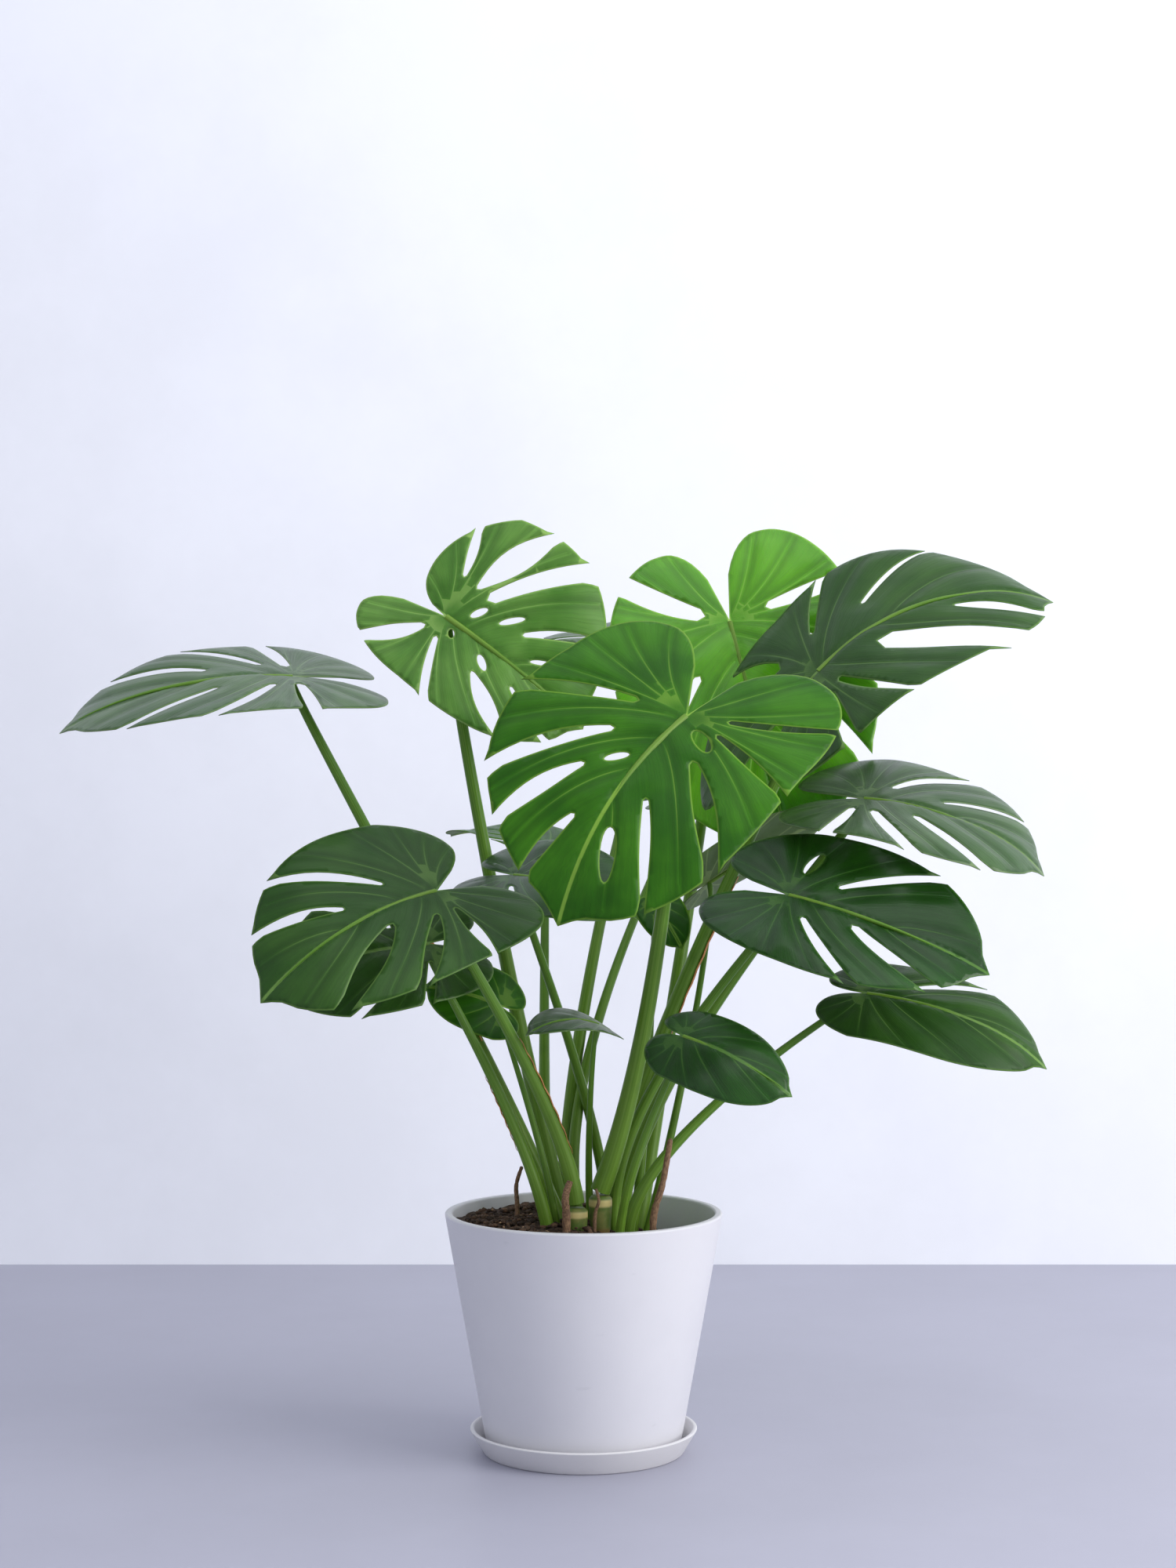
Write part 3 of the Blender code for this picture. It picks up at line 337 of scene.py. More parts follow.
def cut_edges(shape, side, cut, steps):
    """The two edges of a cut from the margin: the notch-side edge inwards, the tip-side one out."""
    angle, inner, mouth, belly = cut
    mouth *= shape.length
    end_radius = max(0.30 * mouth, 0.010 * shape.length)
    inward, outward = [], []
    for k in range(steps + 1):
        share = 1 - (1 - inner) * k / steps
        way = max(0.0, (share - inner) / (1 - inner))
        half = end_radius + (0.5 * mouth - end_radius) * way
        half += 0.5 * belly * shape.length * math.sin(math.pi * way)
        centre = vein_point(shape, side, angle, share)
        offset = across_vein(shape, side, angle, share) * half
        inward.append(centre - offset)
        outward.append(centre + offset)
    tip = vein_point(shape, side, angle, inner)
    back = tip - vein_point(shape, side, angle, inner + 0.02)
    back *= end_radius / np.linalg.norm(back)
    return inward, tip + back, outward[::-1]


def half_margin(shape, side, spacing, steps):
    """One half of the outline, from the notch over the stalk to the leaf's point."""
    cuts = sorted(shape.cuts[0] if side > 0 else shape.cuts[1], reverse=True)
    points, angle = [], 174.0
    for cut in cuts:
        half_mouth = math.degrees(0.5 * cut[2] / (smooth_table(HEART, cut[0])))
        stop = cut[0] + half_mouth
        count = max(1, round((angle - stop) / spacing))
        points += [margin(shape, side, angle + (stop - angle) * k / count) for k in range(count)]
        inward, end, outward = cut_edges(shape, side, cut, steps)
        corner = margin(shape, side, cut[0] - half_mouth - CORNER)
        points += inward + [end] + outward[:-1]
        points.append(0.5 * outward[-1] * 0.35 + 0.5 * outward[-2] * 0.65 + 0.5 * corner)
        angle = cut[0] - half_mouth - CORNER
    count = max(2, round(angle / spacing))
    points += [margin(shape, side, angle * (1 - k / count)) for k in range(count)]
    return points


def outline(shape, spacing, steps):
    """The blade's whole outline, anticlockwise from the notch as the upper face is seen."""
    notch = np.array((0.0, 0.0))
    left = half_margin(shape, 1, spacing, steps)
    right = half_margin(shape, -1, spacing, steps)
    return [notch] + left + [margin(shape, 1, 0.0)] + right[::-1]


def hole_outlines(shape, count):
    """The closed outlines of the holes near the midrib, each a long lens along a side vein."""
    found = []
    for side, holes in ((1, shape.holes[0]), (-1, shape.holes[1])):
        for angle, first, last, width in holes:
            ring = []
            for k in range(count):
                turn = 2 * math.pi * k / count
                share = 0.5 * (first + last) - 0.5 * (last - first) * math.cos(turn)
                offset = 0.5 * width * shape.length * math.sin(turn)
                ring.append(
                    vein_point(shape, side, angle, share)
                    + across_vein(shape, side, angle, share) * offset
                )
            found.append(ring)
    return found


def inside(points, ring):
    """For each point, whether it lies inside the closed ring."""
    found = np.zeros(len(points), bool)
    for (ax, ay), (bx, by) in zip(ring, ring[1:] + ring[:1]):
        if ay == by:
            continue
        crosses = (ay > points[:, 1]) != (by > points[:, 1])
        reach = ax + (points[:, 1] - ay) * (bx - ax) / (by - ay)
        found ^= crosses & (points[:, 0] < reach)
    return found


def distance_to(points, ring):
    """Each point's distance to the closed ring."""
    nearest = np.full(len(points), np.inf)
    for a, b in zip(ring, ring[1:] + ring[:1]):
        edge = b - a
        share = np.clip((points - a) @ edge / max(edge @ edge, 1e-12), 0, 1)
        nearest = np.minimum(nearest, np.linalg.norm(points - a - share[:, None] * edge, axis=1))
    return nearest


def flat_blade(shape, spacing, steps, grid):
    """The blade as flat triangles: an array of points and a list of faces."""
    rings = [outline(shape, spacing, steps)] + hole_outlines(shape, 2 * steps + 2)
    low, high = np.min(rings[0], axis=0), np.max(rings[0], axis=0)
    rows = []
    for j in range(int((high[1] - low[1]) / (0.866 * grid)) + 1):
        for i in range(int((high[0] - low[0]) / grid) + 1):
            rows.append((low[0] + (i + 0.5 * (j % 2)) * grid, low[1] + j * 0.866 * grid))
    filler = np.array(rows)
    keep = inside(filler, rings[0])
    for ring in rings:
        keep &= distance_to(filler, ring) > 0.45 * grid
    for ring in rings[1:]:
        keep &= ~inside(filler, ring)
    points = [tuple(p) for ring in rings for p in ring] + [tuple(p) for p in filler[keep]]
    edges, start = [], 0
    for ring in rings:
        edges += [(start + k, start + (k + 1) % len(ring)) for k in range(len(ring))]
        start += len(ring)
    found = delaunay_2d_cdt([Vector(p) for p in points], edges, [], 0, 1e-6)
    flat = np.array([tuple(p) for p in found[0]])
    faces = np.array([tuple(f) for f in found[2]])
    middles = flat[faces].mean(axis=1)
    shown = inside(middles, rings[0])
    for ring in rings[1:]:
        shown &= ~inside(middles, ring)
    return flat, faces[shown]


# ---------------------------------------------------------------- the blade in space


def shape_in_space(shape, flat):
    """Bends flat blade points into the leaf's real shape and hangs them at its place."""
    x = flat[:, 0] / shape.length
    y = flat[:, 1] / shape.length
    ridge = np.sqrt(x**2 + 0.02**2) - 0.02
    reach = np.hypot(x, y - 0.25)
    height = 4 * shape.arch * y * (1 - y) + shape.fold * ridge - shape.curl * reach**3
    height += shape.curl * 0.25**3 * (1 - y) + shape.curl * 0.75**3 * y
    sideways = x + 4 * shape.bow * y * (1 - y)
    turn = math.radians(shape.twist) * (y - 0.2)
    across = sideways * np.cos(turn) - height * np.sin(turn)
    raised = sideways * np.sin(turn) + height * np.cos(turn)
    scale = shape.length
    return (
        np.array(shape.base)
        + scale * np.outer(across, shape.s)
        + scale * np.outer(y, shape.m)
        + scale * np.outer(raised, shape.n)
    )


def underside_at_base(shape):
    """A point of the blade just past the notch, and the upward normal of the blade there."""
    near, step = 0.02 * shape.length, 0.01 * shape.length
    flat = np.array(((0, near), (0, near + step), (step, near), (-step, near)))
    at, ahead, left, right = shape_in_space(shape, flat)
    normal = Vector(np.cross(ahead - at, left - right)).normalized()
    if normal.dot(shape.n) < 0:
        normal.negate()
    return Vector(at), normal


# ---------------------------------------------------------------- shared solids


def lathe(name, profile, sides, material):
    """A solid turned about Z from a closed outline of (radius, height) points."""
    shape = bmesh.new()
    ring = [shape.verts.new((r, 0, z)) for r, z in profile]
    on_axis = profile[0][0] == 0 and profile[-1][0] == 0
    edges = [shape.edges.new(pair) for pair in zip(ring, ring[1:])]
    if not on_axis:
        edges.append(shape.edges.new((ring[-1], ring[0])))
    bmesh.ops.spin(
        shape, geom=ring + edges, cent=(0, 0, 0), axis=(0, 0, 1),
        angle=2 * math.pi, steps=sides, use_merge=True, use_normal_flip=False,
    )
    bmesh.ops.remove_doubles(shape, verts=shape.verts, dist=1e-5)
    bmesh.ops.recalc_face_normals(shape, faces=shape.faces)
    mesh = bpy.data.meshes.new(name)
    shape.to_mesh(mesh)
    shape.free()
    mesh.shade_smooth()
    mesh.set_sharp_from_angle(angle=math.radians(35))
    mesh.materials.append(material)
    made = bpy.data.objects.new(name, mesh)
    bpy.context.scene.collection.objects.link(made)
    return made


def tube_mesh(name, path, radii, sides, flat=1.0, turn=0.0):
    """A closed rod along a path, with a radius at each of its points.

    flat is its second radius as a share of the first, and turn is where the first one points.
    """
    shape = bmesh.new()
    rings = []
    side_way = Vector((math.cos(turn), math.sin(turn), 0))
    for k, (point, radius) in enumerate(zip(path, radii)):
        ahead = (path[min(k + 1, len(path) - 1)] - path[max(k - 1, 0)]).normalized()
        side_way = (side_way - side_way.dot(ahead) * ahead).normalized()
        other_way = ahead.cross(side_way)
        rings.append([
            shape.verts.new(
                point
                + side_way * radius * math.cos(2 * math.pi * j / sides)
                + other_way * radius * flat * math.sin(2 * math.pi * j / sides)
            )
            for j in range(sides)
        ])
    for lower, upper in zip(rings, rings[1:]):
        for j in range(sides):
            shape.faces.new((lower[j], lower[(j + 1) % sides], upper[(j + 1) % sides], upper[j]))
    shape.faces.new(rings[0][::-1])
    shape.faces.new(rings[-1])
    bmesh.ops.recalc_face_normals(shape, faces=shape.faces)
    mesh = bpy.data.meshes.new(name)
    shape.to_mesh(mesh)
    shape.free()
    mesh.shade_smooth()
    mesh.set_sharp_from_angle(angle=math.radians(50))
    return mesh


def curve_point(a, b, c, d, t):
    """A point on the cubic curve from a to d."""
    return (1 - t) ** 3 * a + 3 * t * (1 - t) ** 2 * b + 3 * t**2 * (1 - t) * c + t**3 * d


def stalk_curve(shape, sheet, clearance):
    """The four points of the stalk's curve: from its foot, by its via point, to under the blade."""
    at, normal = underside_at_base(shape)
    way = (normal * (1 - shape.approach) + shape.m * shape.approach).normalized()
    radius = shape.stalk[1]
    across = way.orthogonal().normalized()
    other = way.cross(across)
    start = at - way * 0.03
    reach = 0.03
    for k in range(STALK_SIDES):
        turn = 2 * math.pi * k / STALK_SIDES
        for share in (0.5, 1.1):
            offset = share * radius * (across * math.cos(turn) + other * math.sin(turn))
            hit = sheet.ray_cast(start + offset, way, 0.05)
            if hit[0] is not None:
                reach = min(reach, hit[3])
    end = start + way * (reach - 0.5 * BLADE_THICKNESS / max(0.3, way.dot(normal)) - clearance)
    knee = end - way * JOINT_REACH * (0.4 + 0.6 * shape.length / 0.25)
    low, high = 0.0, 1.0
    third = shape.root.z + (end.z - shape.root.z) / 3
    for _ in range(30):
        t = 0.5 * (low + high)
        if curve_point(shape.root.z, third, knee.z, end.z, t) < shape.via.z:
            low = t
        else:
            high = t
    nothing = Vector((0, 0, 0))
    rest = curve_point(shape.root, nothing, knee, end, t)
    bend = (shape.via - rest) / (3 * t * (1 - t) ** 2)
    return shape.root, bend, knee, end


def stalk_radii(shape, places=STALK_PLACES):
    """The stalk's radius at places along its path: a thick foot that thins out to the top."""
    foot, top = shape.stalk
    return [top + (foot - top) * (1 - place) ** 1.4 for place in places]


def pot_profile():
    """The pot's section, as (radius, height) points, with its drain hole in the middle."""
    low = SAUCER_FLOOR + GAP
    soft = 0.0015
    inner_foot = inner_radius(low + POT_FLOOR)
    return [
        (DRAIN_RADIUS, low), (POT_FOOT_RADIUS - soft, low), (POT_FOOT_RADIUS, low + soft),
        (RIM_RADIUS, RIM_HEIGHT - soft), (RIM_RADIUS - soft, RIM_HEIGHT),
        (RIM_RADIUS - POT_WALL + soft, RIM_HEIGHT), (RIM_RADIUS - POT_WALL, RIM_HEIGHT - soft),
        (inner_foot, low + POT_FLOOR), (DRAIN_RADIUS, low + POT_FLOOR),
    ]


def saucer_profile():
    """The saucer's section, as (radius, height) points."""
    soft = 0.0012
    lean = (SAUCER_RIM_RADIUS - SAUCER_FOOT_RADIUS) / SAUCER_HEIGHT
    inner_foot = SAUCER_FOOT_RADIUS + lean * SAUCER_FLOOR - SAUCER_WALL
    return [
        (0, 0), (SAUCER_FOOT_RADIUS, 0), (SAUCER_RIM_RADIUS, SAUCER_HEIGHT - soft),
        (SAUCER_RIM_RADIUS - soft, SAUCER_HEIGHT),
        (SAUCER_RIM_RADIUS - SAUCER_WALL + soft, SAUCER_HEIGHT),
        (SAUCER_RIM_RADIUS - SAUCER_WALL, SAUCER_HEIGHT - soft),
        (inner_foot, SAUCER_FLOOR), (0, SAUCER_FLOOR),
    ]


def inner_radius(height):
    """The pot's inside radius at a height."""
    lean = (RIM_RADIUS - POT_FOOT_RADIUS) / (RIM_HEIGHT - SAUCER_FLOOR)
    return POT_FOOT_RADIUS + lean * (height - SAUCER_FLOOR) - POT_WALL


def soil_height(x, y):
    """The soil's surface: level on the left, sinking to the right, with low lumps."""
    sink = min(max((x - SOIL_DIP_START) / SOIL_DIP_WIDTH, 0.0), 1.0)
    sink = sink * sink * (3 - 2 * sink)
    lumps = math.sin(95 * x + 1) * math.cos(80 * y) + 0.6 * math.sin(170 * y + 60 * x)
    return SOIL_TOP - SOIL_DIP * sink + SOIL_LUMPS * lumps


def stem_clearance(shape):
    """How far below a tilted foot's middle the stem has to end."""
    rise = (shape.via - shape.root).normalized()
    return shape.stalk[0] * math.sqrt(1 - rise.z**2) + 0.0015


# ---------------------------------------------------------------- the fine blade


def main_veins(shape, side):
    """The angles of one half's main side veins: one to each lobe, and more in wide lobes."""
    cuts = shape.cuts[0] if side > 0 else shape.cuts[1]
    marks = [168.0] + sorted((cut[0] for cut in cuts), reverse=True) + [0.0]
    found = []
    for high, low in zip(marks, marks[1:]):
        count = max(1, round((high - low) / VEIN_SPREAD))
        for k in range(count):
            found.append(high - (high - low) * (k + 0.5) / count)
    return [angle for angle in found if angle > 6]


def vein_lines(shape, spacing, rings):
    """Points along the midrib and every main side vein, kept clear of the cuts and the holes."""
    lines = []
    count = int(0.97 * shape.length / spacing)
    lines.append([np.array((0.0, (0.012 + 0.96 * k / count) * shape.length)) for k in range(count + 1)])
    for side in (1, -1):
        for angle in main_veins(shape, side):
            reach = np.linalg.norm(margin(shape, side, angle))
            count = max(3, int(reach / spacing))
            line = [vein_point(shape, side, angle, 0.06 + 0.88 * k / count) for k in range(count + 1)]
            lines.append(line)
    kept = []
    for line in lines:
        points = np.array(line)
        good = inside(points, rings[0])
        for ring in rings:
            good &= distance_to(points, ring) > 0.35 * spacing
        for ring in rings[1:]:
            good &= ~inside(points, ring)
        run = []
        for point, fine in zip(line, good):
            if fine:
                run.append(point)
            else:
                kept.append(run)
                run = []
        kept.append(run)
    return [run for run in kept if len(run) > 1]


def fine_flat_blade(shape, spacing):
    """The blade as flat triangles, with its veins among the edges."""
    rings = [outline(shape, 3.0, 10)] + hole_outlines(shape, 20)
    lines = vein_lines(shape, spacing, rings)
    low, high = np.min(rings[0], axis=0), np.max(rings[0], axis=0)
    columns = int((high[0] - low[0]) / spacing) + 1
    rows = int((high[1] - low[1]) / (0.866 * spacing)) + 1
    i, j = np.meshgrid(np.arange(columns), np.arange(rows))
    filler = np.stack((low[0] + (i + 0.5 * (j % 2)) * spacing, low[1] + j * 0.866 * spacing), -1)
    filler = filler.reshape(-1, 2)
    keep = inside(filler, rings[0])
    for ring in rings:
        keep &= distance_to(filler, ring) > 0.45 * spacing
    for ring in rings[1:]:
        keep &= ~inside(filler, ring)
    tree = KDTree(sum(len(line) for line in lines))
    index = 0
    for line in lines:
        for point in line:
            tree.insert((point[0], point[1], 0), index)
            index += 1
    tree.balance()
    filler = [p for p in filler[keep] if tree.find((p[0], p[1], 0))[2] > 0.5 * spacing]
    points, edges = [], []
    for ring in rings:
        start = len(points)
        points += [tuple(p) for p in ring]
        edges += [(start + k, start + (k + 1) % len(ring)) for k in range(len(ring))]
    for line in lines:
        start = len(points)
        points += [tuple(p) for p in line]
        edges += [(start + k, start + k + 1) for k in range(len(line) - 1)]
    points += [tuple(p) for p in filler]
    found = delaunay_2d_cdt([Vector(p) for p in points], edges, [], 0, 1e-6)
    flat = np.array([tuple(p) for p in found[0]])
    faces = np.array([tuple(f) for f in found[2]])
    middles = flat[faces].mean(axis=1)
    shown = inside(middles, rings[0])
    for ring in rings[1:]:
        shown &= ~inside(middles, ring)
    return flat, faces[shown], rings


def vein_places(shape, flat):
    """For each flat point: the angle of the side vein through it and how far out along it."""
    tree = KDTree(2 * 90 * 26)
    rows = []
    for side in (1, -1):
        for a in range(90):
            for b in range(26):
                point = vein_point(shape, side, 2.0 * a, b / 25)
                tree.insert((point[0], point[1], 0), len(rows))
                rows.append((2.0 * a, b / 25, side))
    tree.balance()
    angles, shares = np.zeros(len(flat)), np.zeros(len(flat))
    for k, (x, y) in enumerate(flat):
        total = 0.0
        for _, index, gap in tree.find_n((x, y, 0), 4):
            weight = 1 / (gap + 0.0004) ** 2
            angles[k] += weight * rows[index][0]
            shares[k] += weight * rows[index][1]
            total += weight
        angles[k] /= total
        shares[k] /= total
    return angles, shares


def line_distance(flat, lines):
    """Each flat point's distance to the nearest of the lines, which have many points."""
    nearest = np.full(len(flat), 1.0)
    for line in lines:
        for a, b in zip(line, line[1:]):
            edge = b - a
            share = np.clip((flat - a) @ edge / max(edge @ edge, 1e-12), 0, 1)
            nearest = np.minimum(nearest, np.linalg.norm(flat - a - share[:, None] * edge, axis=1))
    return nearest


def side_vein_distance(shape, flat):
    """Each flat point's distance to the nearest main side vein of its own half."""
    found = np.full(len(flat), 1.0)
    for side in (1, -1):
        here = flat[:, 0] * side >= 0
        lines = [
            [vein_point(shape, side, angle, k / 14) for k in range(15)]
            for angle in main_veins(shape, side)
        ]
        found[here] = line_distance(flat[here], lines)
    return found


def add_attribute(mesh, name, values):
    """Stores one number for each of the mesh's points, for the material to read."""
    mesh.attributes.new(name, "FLOAT", "POINT").data.foreach_set("value", values.astype(np.float32))


def fine_blade(shape, materials):
    """The leaf's blade with its veins, its waves and its thin pale edge."""
    flat, faces, rings = fine_flat_blade(shape, BLADE_MESH)
    angles, shares = vein_places(shape, flat)
    vein = side_vein_distance(shape, flat)
    edge = np.full(len(flat), 1.0)
    for ring in rings:
        edge = np.minimum(edge, distance_to(flat, ring))
    rib = np.abs(flat[:, 0])
    space = shape_in_space(shape, flat)
    away = np.clip(rib / (0.02 * shape.length), 0, 1)
    puff = PUFF * (1 - np.exp(-((vein / 0.009) ** 2))) * np.clip(edge / 0.02, 0, 1) * away
    groove = -GROOVE * np.exp(-((rib / 0.004) ** 2))
    seed = sum(ord(letter) for letter in shape.name)
    waves = np.array([
        noise.noise(Vector((9 * x + seed, 9 * y, 0.5))) for x, y in flat
    ])
    lift = puff + groove + WAVE * waves * np.clip(np.hypot(flat[:, 0], flat[:, 1]) / 0.1, 0, 1)
    space += np.outer(lift, shape.n)
    mesh = bpy.data.meshes.new("leaf_" + shape.name)
    mesh.from_pydata([tuple(p) for p in space], [], [tuple(int(i) for i in f) for f in faces])
    add_attribute(mesh, "stripe", angles)
    add_attribute(mesh, "share", shares)
    add_attribute(mesh, "vein", vein)
    add_attribute(mesh, "rib", rib)
    add_attribute(mesh, "edge", edge)
    mesh.shade_smooth()
    made = bpy.data.objects.new("leaf_" + shape.name, mesh)
    bpy.context.scene.collection.objects.link(made)
    for material in materials:
        mesh.materials.append(material)
    thick = made.modifiers.new("thickness", "SOLIDIFY")
    thick.thickness = FINE_THICKNESS
    thick.offset = 0.0
    thick.material_offset = 1
    thick.material_offset_rim = 2
    return made


# ---------------------------------------------------------------- materials


class Nodes:
    """Short names for adding and linking shader nodes."""

    def __init__(self, name):
        self.material = bpy.data.materials.new(name)
        self.material.use_nodes = True
        self.tree = self.material.node_tree
        self.shader = self.tree.nodes["Principled BSDF"]

    def put(self, target, value):
        if isinstance(value, bpy.types.NodeSocket):
            self.tree.links.new(value, target)
        else:
            target.default_value = value

    def attribute(self, name):
        node = self.tree.nodes.new("ShaderNodeAttribute")
        node.attribute_name = name
        return node.outputs["Fac"]

    def place(self):
        return self.tree.nodes.new("ShaderNodeTexCoord").outputs["Object"]

    def noise(self, scale, detail=2.0, rough=0.5, vector=None, stretch=None):
        vector = vector or self.place()
        if stretch:
            node = self.tree.nodes.new("ShaderNodeMapping")
            self.put(node.inputs["Vector"], vector)
            node.inputs["Scale"].default_value = stretch
            vector = node.outputs["Vector"]
        node = self.tree.nodes.new("ShaderNodeTexNoise")
        node.inputs["Scale"].default_value = scale
        node.inputs["Detail"].default_value = detail
        node.inputs["Roughness"].default_value = rough
        self.put(node.inputs["Vector"], vector)
        return node.outputs["Fac"]

    def math(self, operation, a, b=0.0, clamp=False):
        node = self.tree.nodes.new("ShaderNodeMath")
        node.operation = operation
        node.use_clamp = clamp
        self.put(node.inputs[0], a)
        self.put(node.inputs[1], b)
        return node.outputs["Value"]

    def span(self, value, low, high, to_low=0.0, to_high=1.0):
        node = self.tree.nodes.new("ShaderNodeMapRange")
        node.interpolation_type = "SMOOTHSTEP"
        self.put(node.inputs["Value"], value)
        node.inputs["From Min"].default_value = low
        node.inputs["From Max"].default_value = high
        node.inputs["To Min"].default_value = to_low
        node.inputs["To Max"].default_value = to_high
        return node.outputs["Result"]

    def mix(self, share, a, b):
        node = self.tree.nodes.new("ShaderNodeMix")
        node.data_type = "RGBA"
        self.put(node.inputs["Factor"], share)
        self.put(node.inputs["A"], (*a, 1) if isinstance(a, tuple) else a)
        self.put(node.inputs["B"], (*b, 1) if isinstance(b, tuple) else b)
        return node.outputs["Result"]

    def wave(self, coordinate, scale):
        """A smooth 0 to 1 stripe pattern along one number."""
        turned = self.math("MULTIPLY", coordinate, scale)
        return self.math("MULTIPLY_ADD", self.math("SINE", turned), 0.5)

    def combine(self, x, y, z=0.0):
        node = self.tree.nodes.new("ShaderNodeCombineXYZ")
        for socket, value in zip(node.inputs, (x, y, z)):
            self.put(socket, value)
        return node.outputs["Vector"]

    def bump(self, height, strength, distance):
        node = self.tree.nodes.new("ShaderNodeBump")
        node.inputs["Strength"].default_value = strength
        node.inputs["Distance"].default_value = distance
        self.put(node.inputs["Height"], height)
        self.put(self.shader.inputs["Normal"], node.outputs["Normal"])


def leaf_material(name, deep, fresh, vein_colour, roughness, coat, through):
    """A leaf's upper face: green with paler veins, fine side stripes and a waxy sheen."""
    nodes = Nodes(name)
    rib, vein, edge = nodes.attribute("rib"), nodes.attribute("vein"), nodes.attribute("edge")
    stripe, share = nodes.attribute("stripe"), nodes.attribute("share")
    cloud = nodes.noise(11.0, 3.0)
    colour = nodes.mix(nodes.span(cloud, 0.35, 0.68), deep, fresh)
    fine = nodes.noise(1.0, 3.0, 0.6, nodes.combine(stripe, nodes.math("MULTIPLY", share, 2.5)))
    colour = nodes.mix(nodes.span(fine, 0.30, 0.75, 0.0, 0.28), colour, tuple(0.5 * c for c in deep))
    beside = nodes.math(
        "MULTIPLY", nodes.span(vein, 0.0008, 0.0035), nodes.span(vein, 0.012, 0.004)
    )
    colour = nodes.mix(nodes.math("MULTIPLY", beside, 0.35), colour, tuple(0.45 * c for c in deep))
    side_vein = nodes.span(vein, 0.0010, 0.0003, 0.0, 0.34)
    side_vein = nodes.math("MULTIPLY", side_vein, nodes.span(share, 0.95, 0.45))
    side_vein = nodes.math("MULTIPLY", side_vein, nodes.span(share, 0.06, 0.22, 0.15, 1.0))
    colour = nodes.mix(side_vein, colour, vein_colour)
    midrib = nodes.span(rib, 0.0026, 0.0012, 0.0, 0.85)
    colour = nodes.mix(midrib, colour, vein_colour)
    colour = nodes.mix(nodes.span(edge, 0.0022, 0.0004, 0.0, 0.6), colour, vein_colour)
    shader = nodes.shader
    nodes.put(shader.inputs["Base Color"], colour)
    nodes.put(shader.inputs["Roughness"], nodes.span(fine, 0.2, 0.8, roughness - 0.05, roughness + 0.08))
    shader.inputs["Coat Weight"].default_value = coat
    shader.inputs["Coat Roughness"].default_value = 0.22
    shader.inputs["Specular IOR Level"].default_value = 0.08 + coat
    shader.inputs["Subsurface Weight"].default_value = through
    shader.inputs["Subsurface Radius"].default_value = (0.3, 1.0, 0.1)
    shader.inputs["Subsurface Scale"].default_value = 0.003
    height = nodes.math("ADD", nodes.math("MULTIPLY", fine, 0.7), nodes.span(vein, 0.0015, 0.0, 0, -0.5))
    nodes.bump(height, 0.35, 0.0012)
    return nodes.material


def underside_material(name, colour, vein_colour):
    """A leaf's underside: paler and matt, with raised veins."""
    nodes = Nodes(name)
    rib, vein, stripe = nodes.attribute("rib"), nodes.attribute("vein"), nodes.attribute("stripe")
    cloud = nodes.noise(14.0, 3.0)
    base = nodes.mix(nodes.span(cloud, 0.35, 0.7), colour, tuple(0.8 * c for c in colour))
    base = nodes.mix(nodes.span(vein, 0.0014, 0.0004, 0.0, 0.6), base, vein_colour)
    base = nodes.mix(nodes.span(rib, 0.004, 0.002, 0.0, 0.9), base, vein_colour)
    nodes.put(nodes.shader.inputs["Base Color"], base)
    nodes.shader.inputs["Roughness"].default_value = 0.55
    nodes.shader.inputs["Specular IOR Level"].default_value = 0.2
    nodes.bump(nodes.noise(1.0, 3.0, 0.6, nodes.combine(stripe, 0.0)), 0.3, 0.001)
    return nodes.material


def stalk_material(name, low, high, streak):
    """A leaf stalk: smooth, streaked along its length and paler towards the foot."""
    nodes = Nodes(name)
    along, turn = nodes.attribute("along"), nodes.attribute("turn")
    streaks = nodes.noise(1.0, 3.0, 0.6, nodes.combine(nodes.math("MULTIPLY", turn, 2.2), along))
    patches = nodes.noise(24.0, 2.0)
    colour = nodes.mix(nodes.span(along, 0.05, 0.75), low, high)
    colour = nodes.mix(nodes.span(streaks, 0.35, 0.7, 0.0, 0.5), colour, streak)
    colour = nodes.mix(nodes.span(patches, 0.55, 0.75, 0.0, 0.3), colour, tuple(0.6 * c for c in high))
    nodes.put(nodes.shader.inputs["Base Color"], colour)
    nodes.shader.inputs["Roughness"].default_value = 0.36
    nodes.shader.inputs["Specular IOR Level"].default_value = 0.25
    nodes.shader.inputs["Subsurface Weight"].default_value = 0.15
    nodes.shader.inputs["Subsurface Radius"].default_value = (0.4, 1.0, 0.1)
    nodes.shader.inputs["Subsurface Scale"].default_value = 0.004
    nodes.bump(streaks, 0.25, 0.001)
    return nodes.material


def stem_material():
    """A green stem with pale rings where old leaves were."""
    nodes = Nodes("stem green")
    along = nodes.attribute("along")
    patches = nodes.noise(60.0, 4.0)
    colour = nodes.mix(nodes.span(patches, 0.4, 0.7), (0.10, 0.17, 0.025), (0.23, 0.24, 0.06))
    ring = nodes.math("MULTIPLY", nodes.span(along, 0.84, 0.88), nodes.span(along, 0.97, 0.93))
    colour = nodes.mix(ring, colour, (0.62, 0.52, 0.20))
    low = nodes.math("MULTIPLY", nodes.span(along, 0.60, 0.50), nodes.span(patches, 0.40, 0.60))
    colour = nodes.mix(low, colour, (0.30, 0.13, 0.05))
    nodes.put(nodes.shader.inputs["Base Color"], colour)
    nodes.shader.inputs["Roughness"].default_value = 0.5
    nodes.bump(patches, 0.4, 0.002)
    return nodes.material


